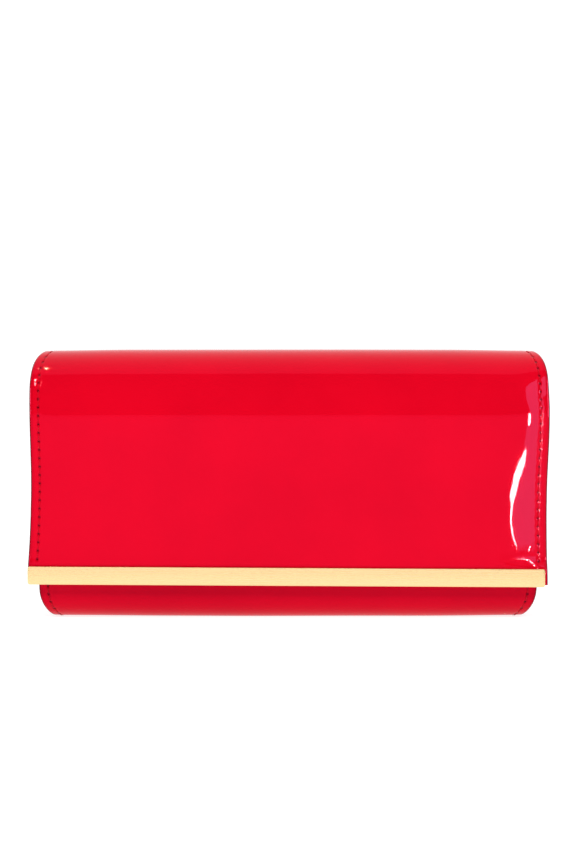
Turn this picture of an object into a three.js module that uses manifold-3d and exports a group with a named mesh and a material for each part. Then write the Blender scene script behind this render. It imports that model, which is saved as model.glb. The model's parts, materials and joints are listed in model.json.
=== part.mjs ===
// A flap clutch purse in patent leather with a metal bar along the flap's edge.
// Millimetres, +Z up, +X to the wearer's right as seen from the front, front face towards -Y.
// The origin is the centre of the purse's footprint, on the surface that it stands on.
//
// One strip of patent leather makes the front, the base, the back, the crown and the flap. It is cut here
// at its two folds, so that the flap can swing: at the back edge of the crown and at its front shoulder.
import * as THREE from "three";
import { mergeVertices } from "three/addons/utils/BufferGeometryUtils.js";
import Module from "manifold-3d";

const wasm = await Module();
wasm.setup();

// ---------- Driving dimensions ----------

const height = 135; // base to the crown's highest point
const depth = 50; // bar's front face to the back
const barLength = 262;
const foldZ = 102; // height of both folds, where the crown's arch springs
const rimZ = 107; // height of the front panel's and gussets' top edges

const frontY = -17.5; // outer face of the front panel
const backY = depth / 2; // outer face of the back
const cornerAcross = 11; // base corners: half axes along Y and Z
const cornerUp = 14;

const barHeight = 9.2;
const barFoot = 17.4; // height of the bar's lower edge
const barFrontLeg = 0.7; // also the bar's floor
const barBackLeg = 0.6;
const flapLowerY = -24; // outer face of the flap inside the bar

const gap = 0.3; // clearance between pieces that touch
const pressGap = 0.25; // clearance around the washers of the snap
const edgeBreak = 0.3; // chamfer on the edges of the metal pieces
const foldGap = 0.5; // half the slit between the pieces on each side of a fold

// Layers, as depths under the outer face: patent leather, board or foam, lining.
const skin = { from: 0, to: 1.0 };
const board = { from: 1.3, to: 2.3 };
const lining = { from: 2.6, to: 3.2 };
const facing = { from: 2.6, to: 3.4 };
const seamInset = 7; // the boards stop this far inside the leather's edges
const liningInset = 1.5; // and the linings this far
const foldBare = 8; // the back board stops this far under the rear fold

// Half widths of the leather strip.
const flapHalf = 131;
const flapWaist = 1.2; // how much the flap's sides draw in at mid height
const crownHalf = 124.1; // at the crest, and from there down the back
const frontHalf = 125.6;
const baseHalf = 118.5;
const baseFlare = 16; // height over which the sides draw in towards the base

const facingHeight = 22;

// ---------- Materials ----------

const finish = (color, roughness, metalness = 0) =>
  new THREE.MeshStandardMaterial({ color, roughness, metalness });
const patentRed = finish(0xd9081f, 0.08);
const liningRed = finish(0x6a0c16, 0.6);
const boardGrey = finish(0x9a9488, 0.9);
const foamWhite = finish(0xe6e2d6, 0.95);
const gold = finish(0xf2c77c, 0.25, 1);
const magnetSteel = finish(0xd8b36a, 0.35, 1);

const purse = new THREE.Group();
const bodyGroup = new THREE.Group();
const crownGroup = new THREE.Group();
const flapGroup = new THREE.Group();
purse.add(bodyGroup, crownGroup, flapGroup);

function addPiece(group, name, geometry, material) {
  const piece = new THREE.Mesh(geometry, material);
  piece.name = name;
  group.add(piece);
  return piece;
}

// ---------- Solids ----------

const smooth = (t) => {
  const u = THREE.MathUtils.clamp(t, 0, 1);
  return u * u * (3 - 2 * u);
};

function toManifold(geometry) {
  const bare = geometry.clone();
  bare.deleteAttribute("normal");
  bare.deleteAttribute("uv");
  const merged = mergeVertices(bare, 1e-4);
  return new wasm.Manifold(
    new wasm.Mesh({
      numProp: 3,
      vertProperties: new Float32Array(merged.attributes.position.array),
      triVerts: new Uint32Array(merged.index.array),
    }),
  );
}

function toGeometry(solid) {
  const mesh = solid.getMesh();
  const geometry = new THREE.BufferGeometry();
  geometry.setAttribute("position", new THREE.BufferAttribute(new Float32Array(mesh.vertProperties), 3));
  geometry.setIndex(new THREE.BufferAttribute(new Uint32Array(mesh.triVerts), 1));
  return geometry;
}

const cut = (geometry, cutters) =>
  toGeometry(cutters.reduce((solid, cutter) => solid.subtract(toManifold(cutter)), toManifold(geometry)));
const join = ([first, ...others]) =>
  toGeometry(others.reduce((solid, next) => solid.add(toManifold(next)), toManifold(first)));

// A closed tube through rings of equal point counts. It is capped at both ends, unless the last ring
// runs on into the first.
function loft(rings, closed = false) {
  const size = rings[0].length;
  const positions = rings.flat().flatMap((p) => [p.x, p.y, p.z]);
  const index = [];
  const bands = closed ? rings.length : rings.length - 1;
  for (let i = 0; i < bands; i++) {
    const here = i * size;
    const next = ((i + 1) % rings.length) * size;
    for (let j = 0; j < size; j++) {
      const k = (j + 1) % size;
      index.push(here + j, here + k, next + k, here + j, next + k, next + j);
    }
  }
  if (!closed) {
    const last = (rings.length - 1) * size;
    const upwards = new THREE.Vector3(0, 0, 1);
    const flatCap = (ring) => {
      const normal = new THREE.Vector3();
      ring.forEach((p, j) => normal.add(p.clone().cross(ring[(j + 1) % size])));
      const turn = new THREE.Quaternion().setFromUnitVectors(normal.normalize(), upwards);
      const laidFlat = ring.map((p) => p.clone().applyQuaternion(turn));
      const outline = laidFlat.map((p) => new THREE.Vector2(p.x, p.y));
      return THREE.ShapeUtils.triangulateShape(outline, []);
    };
    flatCap(rings[0]).forEach(([a, b, c]) => index.push(a, c, b));
    flatCap(rings.at(-1)).forEach(([a, b, c]) => index.push(last + a, last + b, last + c));
  }
  const geometry = new THREE.BufferGeometry();
  geometry.setAttribute("position", new THREE.Float32BufferAttribute(positions, 3));
  geometry.setIndex(index);
  return geometry;
}

// Points and outward normals at even steps along a profile, between two arc lengths.
function stations(profile, from, to, step = 4) {
  const length = profile.getLength();
  const count = 2 * Math.max(1, Math.round((to - from) / step / 2));
  return Array.from({ length: count + 1 }, (_, i) => {
    const u = THREE.MathUtils.clamp((from + ((to - from) * i) / count) / length, 0, 1);
    const tangent = profile.getTangentAt(u);
    return { at: profile.getPointAt(u), out: new THREE.Vector2(tangent.y, -tangent.x) };
  });
}

// A sheet that follows a profile, at a layer's depth under it, as wide at each point as halfWidth says.
function sheet(profile, from, to, layer, halfWidth) {
  const rings = stations(profile, from, to).map(({ at, out }) => {
    const w = halfWidth(at.x, at.y);
    const corner = (x, under) => new THREE.Vector3(x, at.x - out.x * under, at.y - out.y * under);
    return [corner(-w, layer.from), corner(-w, layer.to), corner(w, layer.to), corner(w, layer.from)];
  });
  return loft(rings);
}

// A straight prism: a shape drawn in the XZ plane and pushed from one Y to another.
function prismAlongY(shape, fromY, toY, curveSegments = 12) {
  const settings = { depth: toY - fromY, bevelEnabled: false, curveSegments };
  const geometry = new THREE.ExtrudeGeometry(shape, settings);
  return geometry.rotateX(Math.PI / 2).translate(0, toY, 0);
}

function rectangle(x0, z0, x1, z1, radius = 0) {
  const shape = new THREE.Shape();
  if (radius === 0) {
    return shape.moveTo(x0, z0).lineTo(x1, z0).lineTo(x1, z1).lineTo(x0, z1).closePath();
  }
  shape.moveTo(x0 + radius, z0);
  shape.absarc(x1 - radius, z0 + radius, radius, -Math.PI / 2, 0, false);
  shape.absarc(x1 - radius, z1 - radius, radius, 0, Math.PI / 2, false);
  shape.absarc(x0 + radius, z1 - radius, radius, Math.PI / 2, Math.PI, false);
  shape.absarc(x0 + radius, z0 + radius, radius, Math.PI, 1.5 * Math.PI, false);
  return shape;
}

const block = (x0, y0, z0, x1, y1, z1) =>
  new THREE.BoxGeometry(x1 - x0, y1 - y0, z1 - z0).translate((x0 + x1) / 2, (y0 + y1) / 2, (z0 + z1) / 2);

// A cylinder about Y, between two Y values.
const pegAlongY = (radius, y0, y1, x = 0, z = 0, sides = 24) =>
  new THREE.CylinderGeometry(radius, radius, y1 - y0, sides).translate(x, (y0 + y1) / 2, z);

// ---------- Profiles, in the YZ plane ----------

// Body: down the front from the rim, round the base, and up the back to the rear fold.
const bodyProfile = new THREE.Path();
const baseCorner = (y, from, to) =>
  bodyProfile.absellipse(y, cornerUp, cornerAcross, cornerUp, from, to, false);
bodyProfile.moveTo(frontY, rimZ);
bodyProfile.lineTo(frontY, cornerUp);
baseCorner(frontY + cornerAcross, Math.PI, 1.5 * Math.PI);
bodyProfile.lineTo(backY - cornerAcross, 0);
baseCorner(backY - cornerAcross, 1.5 * Math.PI, 2 * Math.PI);
bodyProfile.lineTo(backY, foldZ);
const bodyLength = bodyProfile.getLength();
const downFront = (z) => rimZ - z; // arc length at a height on the flat front
const upBack = (z) => bodyLength - (foldZ - z); // arc length at a height on the flat back

// Crown: half an ellipse from the rear fold over the top to the front shoulder.
const crownReach = backY - 0.1; // half the crown's depth
const crownProfile = new THREE.Path();
crownProfile.absellipse(0, foldZ, crownReach, height - foldZ, 0, Math.PI, false);
const crownLength = crownProfile.getLength();

// Flap: from the shoulder down to its edge inside the bar, a little nearer the body at the bottom.
const flapEdgeZ = barFoot + barFrontLeg + gap;
const flapStraightZ = barFoot + barHeight + 6; // below this height the flap hangs straight
const flapEase = 24; // length of the bend's handles, above and below
const shoulderY = -crownReach;
const flapProfile = new THREE.Path();
flapProfile.moveTo(shoulderY, foldZ);
flapProfile.bezierCurveTo(
  shoulderY,
  foldZ - flapEase,
  flapLowerY,
  flapStraightZ + flapEase,
  flapLowerY,
  flapStraightZ,
);
flapProfile.lineTo(flapLowerY, flapEdgeZ);
const flapLength = flapProfile.getLength();

// ---------- Widths ----------

const drawnIn = (full, z) => {
  const t = Math.max(0, (baseFlare - z) / baseFlare);
  return baseHalf + (full - baseHalf) * Math.max(0, 1 - t * t) ** 0.75;
};
const bodyHalf = (y, z) => drawnIn(y < 0 ? frontHalf : crownHalf, z);
const crownHalfAt = (y) => {
  const t = THREE.MathUtils.clamp(1 + y / backY, 0, 1); // 0 at the shoulder, 1 at the crest
  return flapHalf - (flapHalf - crownHalf) * t ** 2.4 * (2.2 - 1.2 * t);
};
const flapHalfAt = (z) => {
  // 0 at the bar, 1 at the shoulder
  const t = THREE.MathUtils.clamp((z - barFoot) / (foldZ - barFoot), 0, 1);
  return flapHalf - flapWaist * Math.sin(Math.PI * t) ** 2;
};
const narrower = (halfWidth, by) => (y, z) => halfWidth(y, z) - by;

// ---------- Magnetic snap ----------

const snapZ = 42;
const snapRadius = 7;
const snapCaseThick = 1.6;
const snapCaseFloor = 0.4;
const studPlateThick = 0.6;
const studRise = 1.1; // how far the stud stands out of its plate
const studRadius = 2.3;
const studHoleRadius = 2.8;
const prong = { across: 3, thick: 0.5, from: 4.2, foldedTo: 1.2 };
const prongRoot = 0.3; // how deep a prong is rooted in its plate
const washerRadius = 6;
const washerThick = 0.4;
const pocketRadius = 6.6; // hole in the board that the washer sits in

// Slots for the two prongs of a snap half, through layers that lie between two Y values.
const prongSlots = (y0, y1) =>
  [-1, 1].map((side) => {
    const x = side * prong.from;
    const halfThick = prong.thick / 2 + gap;
    const halfAcross = prong.across / 2 + gap;
    return block(x - halfThick, y0, snapZ - halfAcross, x + halfThick, y1, snapZ + halfAcross);
  });

// Two prongs that run from the case at rootY to tipY and are then folded inwards over the washer.
function prongs(rootY, tipY) {
  const inward = Math.sign(tipY - rootY);
  return [-1, 1].flatMap((side) => {
    const x = side * prong.from;
    const low = Math.min(rootY, tipY);
    const high = Math.max(rootY, tipY);
    const half = prong.across / 2;
    const leg = block(x - prong.thick / 2, low, snapZ - half, x + prong.thick / 2, high, snapZ + half);
    const fromX = Math.min(x + (side * prong.thick) / 2, side * prong.foldedTo);
    const toX = Math.max(x + (side * prong.thick) / 2, side * prong.foldedTo);
    const foldY = tipY - inward * prong.thick;
    const foldLow = Math.min(foldY, tipY);
    const foldHigh = Math.max(foldY, tipY);
    const folded = block(fromX, foldLow, snapZ - half, toX, foldHigh, snapZ + half);
    return [leg, folded];
  });
}

// Turned disc about Y at the snap's centre, from a half section given as [radius, y] pairs.
function turnedAtSnap(section) {
  const points = section.map(([r, y]) => new THREE.Vector2(r, y));
  return new THREE.LatheGeometry([...points, points[0].clone()], 40).translate(0, 0, snapZ);
}

const flapInnerY = flapProfile.getPointAt(((foldZ - snapZ) / flapLength)).x + lining.to;
const socketBack = frontY - gap; // the case's face against the front panel
const socketFace = socketBack - snapCaseThick;
const studBack = flapInnerY + gap + 0.1; // the flap leans a little, so its lining needs more than the gap
const studFace = studBack + studPlateThick;

// ---------- Body ----------

const socketSlots = prongSlots(frontY - 1, frontY + board.to + 1);
addPiece(
  bodyGroup,
  "body_skin",
  cut(sheet(bodyProfile, 0, bodyLength - foldGap, skin, bodyHalf), socketSlots),
  patentRed,
);

const boardHalf = narrower(bodyHalf, seamInset);
const boardTop = 2; // the front board stops this far under the rim
const boardClear = 2; // and the boards stop this far short of the base corners' tangent lines
addPiece(
  bodyGroup,
  "front_board",
  cut(sheet(bodyProfile, boardTop, downFront(cornerUp + boardClear), board, boardHalf), [
    pegAlongY(pocketRadius, frontY, frontY + 4, 0, snapZ),
  ]),
  boardGrey,
);
const baseStart = downFront(cornerUp - boardClear);
const baseEnd = upBack(cornerUp - boardClear);
addPiece(bodyGroup, "base_board", sheet(bodyProfile, baseStart, baseEnd, board, boardHalf), boardGrey);
const backStart = upBack(cornerUp + boardClear);
const backEnd = upBack(foldZ - foldBare);
addPiece(bodyGroup, "back_board", sheet(bodyProfile, backStart, backEnd, board, boardHalf), boardGrey);

const liningHalf = narrower(bodyHalf, liningInset);
const backFacingFrom = upBack(foldZ - facingHeight);
addPiece(
  bodyGroup,
  "body_lining",
  sheet(bodyProfile, facingHeight + gap, backFacingFrom - gap, lining, liningHalf),
  liningRed,
);
addPiece(bodyGroup, "front_facing", sheet(bodyProfile, 0.4, facingHeight, facing, liningHalf), patentRed);
addPiece(
  bodyGroup,
  "back_facing",
  sheet(bodyProfile, backFacingFrom, bodyLength - foldGap, facing, liningHalf),
  patentRed,
);

// Gussets: side walls folded inwards along their middle, with a flange along the front and the back.
const gussetThick = 1;
const gussetUnder = facing.to + gap; // depth of the flanges under the body's outer face
const gussetFoot = gussetUnder + gap;
const flangeFrom = 1; // flange, measured in from the leather's edge
const flangeTo = 7;
const foldTop = 14; // how far the middle fold stands in, at the top and at the foot
const foldFoot = 3;

const innerFront = (z) => {
  const under = gussetUnder + gussetThick / 2;
  const rise = THREE.MathUtils.clamp((cornerUp - z) / (cornerUp - under), 0, 0.97);
  return frontY + cornerAcross - (cornerAcross - under) * Math.sqrt(1 - rise * rise);
};
const innerBack = (z) => frontY + backY - innerFront(z);

function gussetSection(z) {
  const wFront = drawnIn(frontHalf, z);
  const wBack = drawnIn(crownHalf, z);
  const foldIn = THREE.MathUtils.lerp(foldFoot, foldTop, smooth(z / rimZ));
  const spine = Math.min(wFront, wBack) - flangeTo - foldIn;
  const middle = new THREE.Vector2(spine, (innerFront(z) + innerBack(z)) / 2);
  const line = [
    new THREE.Vector2(wFront - flangeFrom, innerFront(z)),
    new THREE.Vector2(wFront - flangeTo, innerFront(z)),
    middle,
    new THREE.Vector2(wBack - flangeTo, innerBack(z)),
    new THREE.Vector2(wBack - flangeFrom, innerBack(z)),
  ];
  const side = (sign) =>
    line.map((p, i) => {
      const before = p.clone().sub(line[Math.max(i - 1, 0)]).normalize();
      const after = line[Math.min(i + 1, line.length - 1)].clone().sub(p).normalize();
      const along = before.clone().add(after).normalize();
      const isEnd = i === 0 || i === line.length - 1;
      const open = Math.max(0.5, Math.sqrt((1 + (isEnd ? 1 : before.dot(after))) / 2));
      const offset = (sign * gussetThick) / 2 / open;
      return new THREE.Vector3(p.x - along.y * offset, p.y + along.x * offset, z);
    });
  return [...side(1).reverse(), ...side(-1)];
}
const gussetRows = 14;
const gussetRings = Array.from({ length: gussetRows + 1 }, (_, i) => {
  const t = (i / gussetRows) ** 1.4;
  return gussetSection(THREE.MathUtils.lerp(gussetFoot, rimZ - 0.5, t));
});
addPiece(bodyGroup, "gusset_right", loft(gussetRings), patentRed);
addPiece(bodyGroup, "gusset_left", loft(gussetRings), patentRed).scale.x = -1;

// Slip pocket on the back lining, with a binding over its top edge.
const pocketHalf = 75;
const pocketFoot = 20;
const pocketTop = 74;
const pocketThick = 0.8;
const pocketCorner = 4;
const pocketFace = backY - facing.to - 1.1; // the pocket's face towards the lining
const bindingHeight = 8;
const bindingThick = 0.5;
const pocketShape = rectangle(-pocketHalf, pocketFoot, pocketHalf, pocketTop, pocketCorner);
addPiece(
  bodyGroup,
  "slip_pocket",
  prismAlongY(pocketShape, pocketFace - pocketThick, pocketFace, 4),
  liningRed,
);
const bindingWall = gap + bindingThick;
const bindingSection = new THREE.Shape();
bindingSection.moveTo(-pocketThick - bindingWall, -bindingHeight);
bindingSection.lineTo(-pocketThick - gap, -bindingHeight);
bindingSection.lineTo(-pocketThick - gap, 0);
bindingSection.lineTo(gap, 0);
bindingSection.lineTo(gap, -bindingHeight);
bindingSection.lineTo(bindingWall, -bindingHeight);
bindingSection.lineTo(bindingWall, bindingThick);
bindingSection.lineTo(-pocketThick - bindingWall, bindingThick);
bindingSection.closePath();

// Turns a section drawn with X as depth (Y) and Y as height (Z) into a bar along X, centred on X = 0.
function barAlongX(section, length) {
  const settings = { depth: length, bevelEnabled: false, curveSegments: 6 };
  const geometry = new THREE.ExtrudeGeometry(section, settings);
  const turn = new THREE.Matrix4().makeBasis(
    new THREE.Vector3(0, 1, 0),
    new THREE.Vector3(0, 0, 1),
    new THREE.Vector3(1, 0, 0),
  );
  return geometry.applyMatrix4(turn).translate(-length / 2, 0, 0);
}
const binding = addPiece(bodyGroup, "pocket_binding", barAlongX(bindingSection, 2 * pocketHalf), patentRed);
binding.position.set(0, pocketFace, pocketTop + gap);

// Snap socket on the front panel, and the washer behind it.
const socketFloor = socketBack - snapCaseFloor; // the case is a shallow cup, open to the front
const magnetRadius = snapRadius - 0.5 - gap;
const socketCase = turnedAtSnap([
  [0, socketBack],
  [0, socketFloor],
  [magnetRadius + gap, socketFloor],
  [magnetRadius + gap, socketFace],
  [snapRadius - 0.2, socketFace],
  [snapRadius, socketFace + edgeBreak],
  [snapRadius, socketBack],
]);
const magnetRing = turnedAtSnap([
  [studHoleRadius, socketFloor - gap],
  [studHoleRadius, socketFace],
  [magnetRadius, socketFace],
  [magnetRadius, socketFloor - gap],
]);
addPiece(
  bodyGroup,
  "snap_socket",
  join([socketCase, ...prongs(socketBack - prongRoot, frontY + lining.from - pressGap)]),
  magnetSteel,
);
addPiece(bodyGroup, "snap_magnet", magnetRing, magnetSteel);

const washerFrom = (y) =>
  cut(pegAlongY(washerRadius, y, y + washerThick, 0, snapZ, 32), prongSlots(y - 1, y + washerThick + 1));
addPiece(bodyGroup, "socket_washer", washerFrom(frontY + skin.to + pressGap), magnetSteel);

// D-rings for a shoulder chain, each hanging in a leather tab at the top of a gusset.
const ringPivotX = 100.6;
const ringPivotZ = 89;
const ringY = (frontY + backY) / 2;
const ringWire = 0.9;
const ringHalfBar = 6.5; // half the straight side, between wire centres
const ringDrop = 10;
const ringCorner = 1;
const tabHalf = 3.4;
const tabThick = 0.8;

// The D's centre line, in the YZ plane, with its straight side at the top on Z = 0.
const ringLine = new THREE.Path();
ringLine.moveTo(ringHalfBar, 0);
ringLine.absarc(-ringHalfBar + ringCorner, -ringCorner, ringCorner, Math.PI / 2, Math.PI, false);
ringLine.absellipse(0, -ringDrop + ringHalfBar, ringHalfBar, ringHalfBar, Math.PI, 2 * Math.PI, false);
ringLine.absarc(ringHalfBar - ringCorner, -ringCorner, ringCorner, 0, Math.PI / 2, false);
const ringSteps = 40;
const ringGeometry = loft(
  Array.from({ length: ringSteps }, (_, i) => {
    const u = i / ringSteps;
    const at = ringLine.getPointAt(u);
    const tangent = ringLine.getTangentAt(u);
    const out = new THREE.Vector3(0, tangent.y, -tangent.x);
    return Array.from({ length: 10 }, (_, j) => {
      const a = (j / 10) * 2 * Math.PI;
      const p = out.clone().multiplyScalar(Math.cos(a) * ringWire);
      return p.add(new THREE.Vector3(-Math.sin(a) * ringWire, at.x, at.y));
    });
  }),
  true,
);

// The tab's side view, in the XZ plane: a strap folded round the ring's straight side, its tails sewn flat.
const tabLoopInner = ringWire + gap + 0.1;
const tabLoopOuter = tabLoopInner + tabThick;
const tabTop = rimZ - 3 - ringPivotZ;
const tabJoin = Math.asin(tabThick / tabLoopOuter);
const tabShape = new THREE.Shape();
tabShape.moveTo(tabThick, tabTop);
tabShape.lineTo(-tabThick, tabTop);
tabShape.absarc(0, 0, tabLoopOuter, Math.PI / 2 + tabJoin, 2.5 * Math.PI - tabJoin, false);
tabShape.closePath();
const tabHole = new THREE.Path();
tabHole.absarc(0, 0, tabLoopInner, 0, 2 * Math.PI, true);
tabShape.holes.push(tabHole);

for (const [side, sign] of [["right", 1], ["left", -1]]) {
  const ring = addPiece(bodyGroup, `d_ring_${side}`, ringGeometry, gold);
  ring.position.set(sign * ringPivotX, ringY, ringPivotZ);
  const strap = prismAlongY(tabShape, -tabHalf, tabHalf, 8);
  const tab = addPiece(bodyGroup, `d_ring_tab_${side}`, strap, patentRed);
  tab.position.set(sign * ringPivotX, ringY, ringPivotZ);
}

// ---------- Crown ----------

const crownSheet = (layer, from, to, less = 0) =>
  sheet(crownProfile, from, to, layer, (y) => crownHalfAt(y) - less);
const crownBend = 9; // bare leather and lining next to each fold, with no foam
const crownEnd = crownLength - foldGap;
const foamEnd = crownLength - crownBend;
addPiece(crownGroup, "crown_skin", crownSheet(skin, foldGap, crownEnd), patentRed);
addPiece(crownGroup, "crown_foam", crownSheet(board, crownBend, foamEnd, seamInset), foamWhite);
addPiece(crownGroup, "crown_lining", crownSheet(lining, foldGap, crownEnd, liningInset), patentRed);

// ---------- Flap ----------

const flapSheet = (layer, from, to, less = 0) =>
  sheet(flapProfile, from, to, layer, (y, z) => flapHalfAt(z) - less);
const screwXs = [-110, 0, 110];
const screwZ = barFoot + 5.4;
const shankRadius = 0.9;
const holesBetween = (y0, y1) => screwXs.map((x) => pegAlongY(shankRadius + gap, y0, y1, x, screwZ, 16));
const screwHoles = holesBetween(-barFrontLeg - backY, 0);
const studSlots = prongSlots(flapInnerY - 2.2, flapInnerY + 2);

addPiece(flapGroup, "flap_skin", cut(flapSheet(skin, foldGap, flapLength), screwHoles), patentRed);
addPiece(
  flapGroup,
  "flap_board",
  cut(flapSheet(board, crownBend, flapLength, seamInset), [
    ...screwHoles,
    pegAlongY(pocketRadius, flapInnerY - 3, flapInnerY + 1, 0, snapZ),
  ]),
  boardGrey,
);
addPiece(
  flapGroup,
  "flap_lining",
  cut(flapSheet(lining, foldGap, flapLength, liningInset), [...screwHoles, ...studSlots]),
  patentRed,
);

// Snap stud on the flap's lining, and the washer under the lining.
const studTip = studFace + studRise;
const stud = turnedAtSnap([
  [0, studBack],
  [snapRadius, studBack],
  [snapRadius, studBack + edgeBreak],
  [snapRadius - 0.4, studFace],
  [studRadius, studFace],
  [studRadius, studTip - edgeBreak],
  [studRadius - edgeBreak, studTip],
  [0, studTip],
]);
const flapWasherTo = flapInnerY - (lining.to - lining.from) - gap;
addPiece(
  flapGroup,
  "snap_stud",
  join([stud, ...prongs(studBack + prongRoot, flapInnerY - lining.to + skin.to + pressGap)]),
  magnetSteel,
);
addPiece(flapGroup, "stud_washer", washerFrom(flapWasherTo - washerThick), magnetSteel);

// The bar: a channel folded over the flap's edge, rounded along the bottom and at its corners.
const barInnerFront = flapLowerY - gap;
const barInnerBack = flapLowerY + lining.to + gap;
const barOuterFront = barInnerFront - barFrontLeg;
const barOuterBack = barInnerBack + barBackLeg;
const barTop = barFoot + barHeight;
const barRound = 0.9; // of the lower front edge
const barBackRound = 0.5; // of the lower back edge
const barCorner = 1.1; // of the four corners seen from the front
const barSection = new THREE.Shape();
const footArc = (y, radius, from, to) =>
  barSection.absarc(y, barFoot + radius, radius, from, to, false);
barSection.moveTo(barOuterFront + edgeBreak, barTop);
barSection.lineTo(barOuterFront, barTop - edgeBreak);
footArc(barOuterFront + barRound, barRound, Math.PI, 1.5 * Math.PI);
footArc(barOuterBack - barBackRound, barBackRound, 1.5 * Math.PI, 2 * Math.PI);
barSection.lineTo(barOuterBack, barTop);
barSection.lineTo(barInnerBack, barTop);
barSection.lineTo(barInnerBack, barFoot + barFrontLeg);
barSection.lineTo(barInnerFront, barFoot + barFrontLeg);
barSection.lineTo(barInnerFront, barTop);
barSection.closePath();
const barEnds = prismAlongY(
  rectangle(-barLength / 2, barFoot - 1, barLength / 2, barTop + 0.01, barCorner),
  barOuterFront - 1,
  barOuterBack + 1,
  4,
);
const channel = toManifold(barAlongX(barSection, barLength + 4)).intersect(toManifold(barEnds));
const backLegHoles = holesBetween(barInnerBack - 1, barOuterBack + 1);
addPiece(flapGroup, "edge_bar", cut(toGeometry(channel), backLegHoles), gold);

// Screws through the bar's back leg and the flap, with flat slotted heads.
const headRadius = 1.7;
const headThick = 0.6;
const slotHalf = 0.25; // half the slot's width
const slotDepth = 0.25;
const slotReach = headRadius + 1; // the slot runs right across the head
screwXs.forEach((x, i) => {
  const headY = barOuterBack + gap;
  const headFace = headY + headThick;
  const shank = pegAlongY(shankRadius, barInnerFront + gap, headY + 0.2, 0, 0, 16);
  const head = pegAlongY(headRadius, headY, headFace, 0, 0, 20);
  const slot = block(-slotReach, headFace - slotDepth, -slotHalf, slotReach, headFace + 1, slotHalf);
  const screw = addPiece(flapGroup, `bar_screw_${i + 1}`, cut(join([shank, head]), [slot]), gold);
  screw.position.set(x, 0, screwZ);
});

export default purse;
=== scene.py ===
import json
import math

import bpy
import numpy as np
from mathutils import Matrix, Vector


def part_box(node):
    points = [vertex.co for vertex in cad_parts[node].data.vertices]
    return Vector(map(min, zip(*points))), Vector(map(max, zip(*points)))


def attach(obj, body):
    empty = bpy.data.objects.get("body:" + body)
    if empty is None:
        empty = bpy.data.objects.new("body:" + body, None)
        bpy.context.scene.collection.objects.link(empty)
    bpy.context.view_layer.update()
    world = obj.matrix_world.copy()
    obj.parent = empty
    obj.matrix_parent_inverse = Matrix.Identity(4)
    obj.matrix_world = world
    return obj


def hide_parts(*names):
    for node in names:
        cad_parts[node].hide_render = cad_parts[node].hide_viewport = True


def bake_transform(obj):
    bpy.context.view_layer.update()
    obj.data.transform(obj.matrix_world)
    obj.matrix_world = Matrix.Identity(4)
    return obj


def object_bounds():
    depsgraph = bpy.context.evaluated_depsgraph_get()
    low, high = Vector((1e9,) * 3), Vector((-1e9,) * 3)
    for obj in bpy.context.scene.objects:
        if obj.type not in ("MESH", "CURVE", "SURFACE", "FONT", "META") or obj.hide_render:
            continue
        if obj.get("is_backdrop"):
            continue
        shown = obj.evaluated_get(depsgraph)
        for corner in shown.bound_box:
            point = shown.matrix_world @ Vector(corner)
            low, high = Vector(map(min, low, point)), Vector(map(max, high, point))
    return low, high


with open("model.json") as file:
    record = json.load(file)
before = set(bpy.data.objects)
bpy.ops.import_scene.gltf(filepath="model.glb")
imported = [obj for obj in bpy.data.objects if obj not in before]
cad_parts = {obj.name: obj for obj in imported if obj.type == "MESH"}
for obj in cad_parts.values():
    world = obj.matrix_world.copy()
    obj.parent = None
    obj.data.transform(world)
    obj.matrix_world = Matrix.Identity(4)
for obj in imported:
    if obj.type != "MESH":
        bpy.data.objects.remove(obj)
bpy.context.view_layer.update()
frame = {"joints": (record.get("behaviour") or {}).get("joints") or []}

MM = 0.001


def box_mm(node):
    low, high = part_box(node)
    return np.array(low) / MM, np.array(high) / MM


def joint_place(name):
    return np.array(next(j["pos_m"] for j in frame["joints"] if j["name"] == name)) / MM


# ---------- Sizes ----------

SKIN_LOW, SKIN_HIGH = box_mm("body_skin")
FRONT_Y, BACK_Y, RIM_Z = SKIN_LOW[1], SKIN_HIGH[1], SKIN_HIGH[2]
FOLD_Z = joint_place("crown_fold")[2]
SHOULDER_Y = joint_place("flap_fold")[1]
CREST_Z = box_mm("crown_skin")[1][2]
BAR_LOW, BAR_HIGH = box_mm("edge_bar")
FLAP_END_Z = box_mm("flap_skin")[0][2]
FLAP_LOWER_Y = BAR_LOW[1] + 1.0  # flap's outer face inside the bar
CORNER_ACROSS, CORNER_UP = 11, 14  # base corners, half axes along Y and Z

FLAP_HALF = box_mm("flap_skin")[1][0]
FRONT_HALF = SKIN_HIGH[0]
CREST_HALF = 124.1
BASE_HALF = 118.5
BASE_FLARE = 16
FLAP_WAIST = 1.2

LEATHER = 1.0  # thickness of the patent leather where a board or foam backs it
EDGE = 2.5  # thickness of the glued and painted edge
LINING_AT, LINING_TO = 2.6, 3.2
FACING_TO = 3.4
LINING_INSET = 1.5

PITCH = 4.3  # stitch length
STITCH_IN = 4.5  # stitch line's distance from the leather's edge


def smooth(t):
    t = np.clip(t, 0, 1)
    return t * t * (3 - 2 * t)


# ---------- The leather strip's path, in the YZ plane ----------

def straight(a, b):
    return np.linspace(a, b, 200)


def arc(centre, radii, start, end):
    angle = np.radians(np.linspace(start, end, 300))
    return np.column_stack([centre[0] + radii[0] * np.cos(angle), centre[1] + radii[1] * np.sin(angle)])


def bezier(a, b, c, d):
    t = np.linspace(0, 1, 200)[:, None]
    a, b, c, d = (np.array(p) for p in (a, b, c, d))
    return a * (1 - t) ** 3 + 3 * b * t * (1 - t) ** 2 + 3 * c * t * t * (1 - t) + d * t ** 3


def joined(*runs):
    points = np.concatenate(runs)
    keep = np.r_[True, np.linalg.norm(np.diff(points, axis=0), axis=1) > 1e-6]
    return points[keep]


def arc_length(points):
    return np.r_[0, np.cumsum(np.linalg.norm(np.diff(points, axis=0), axis=1))]


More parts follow.
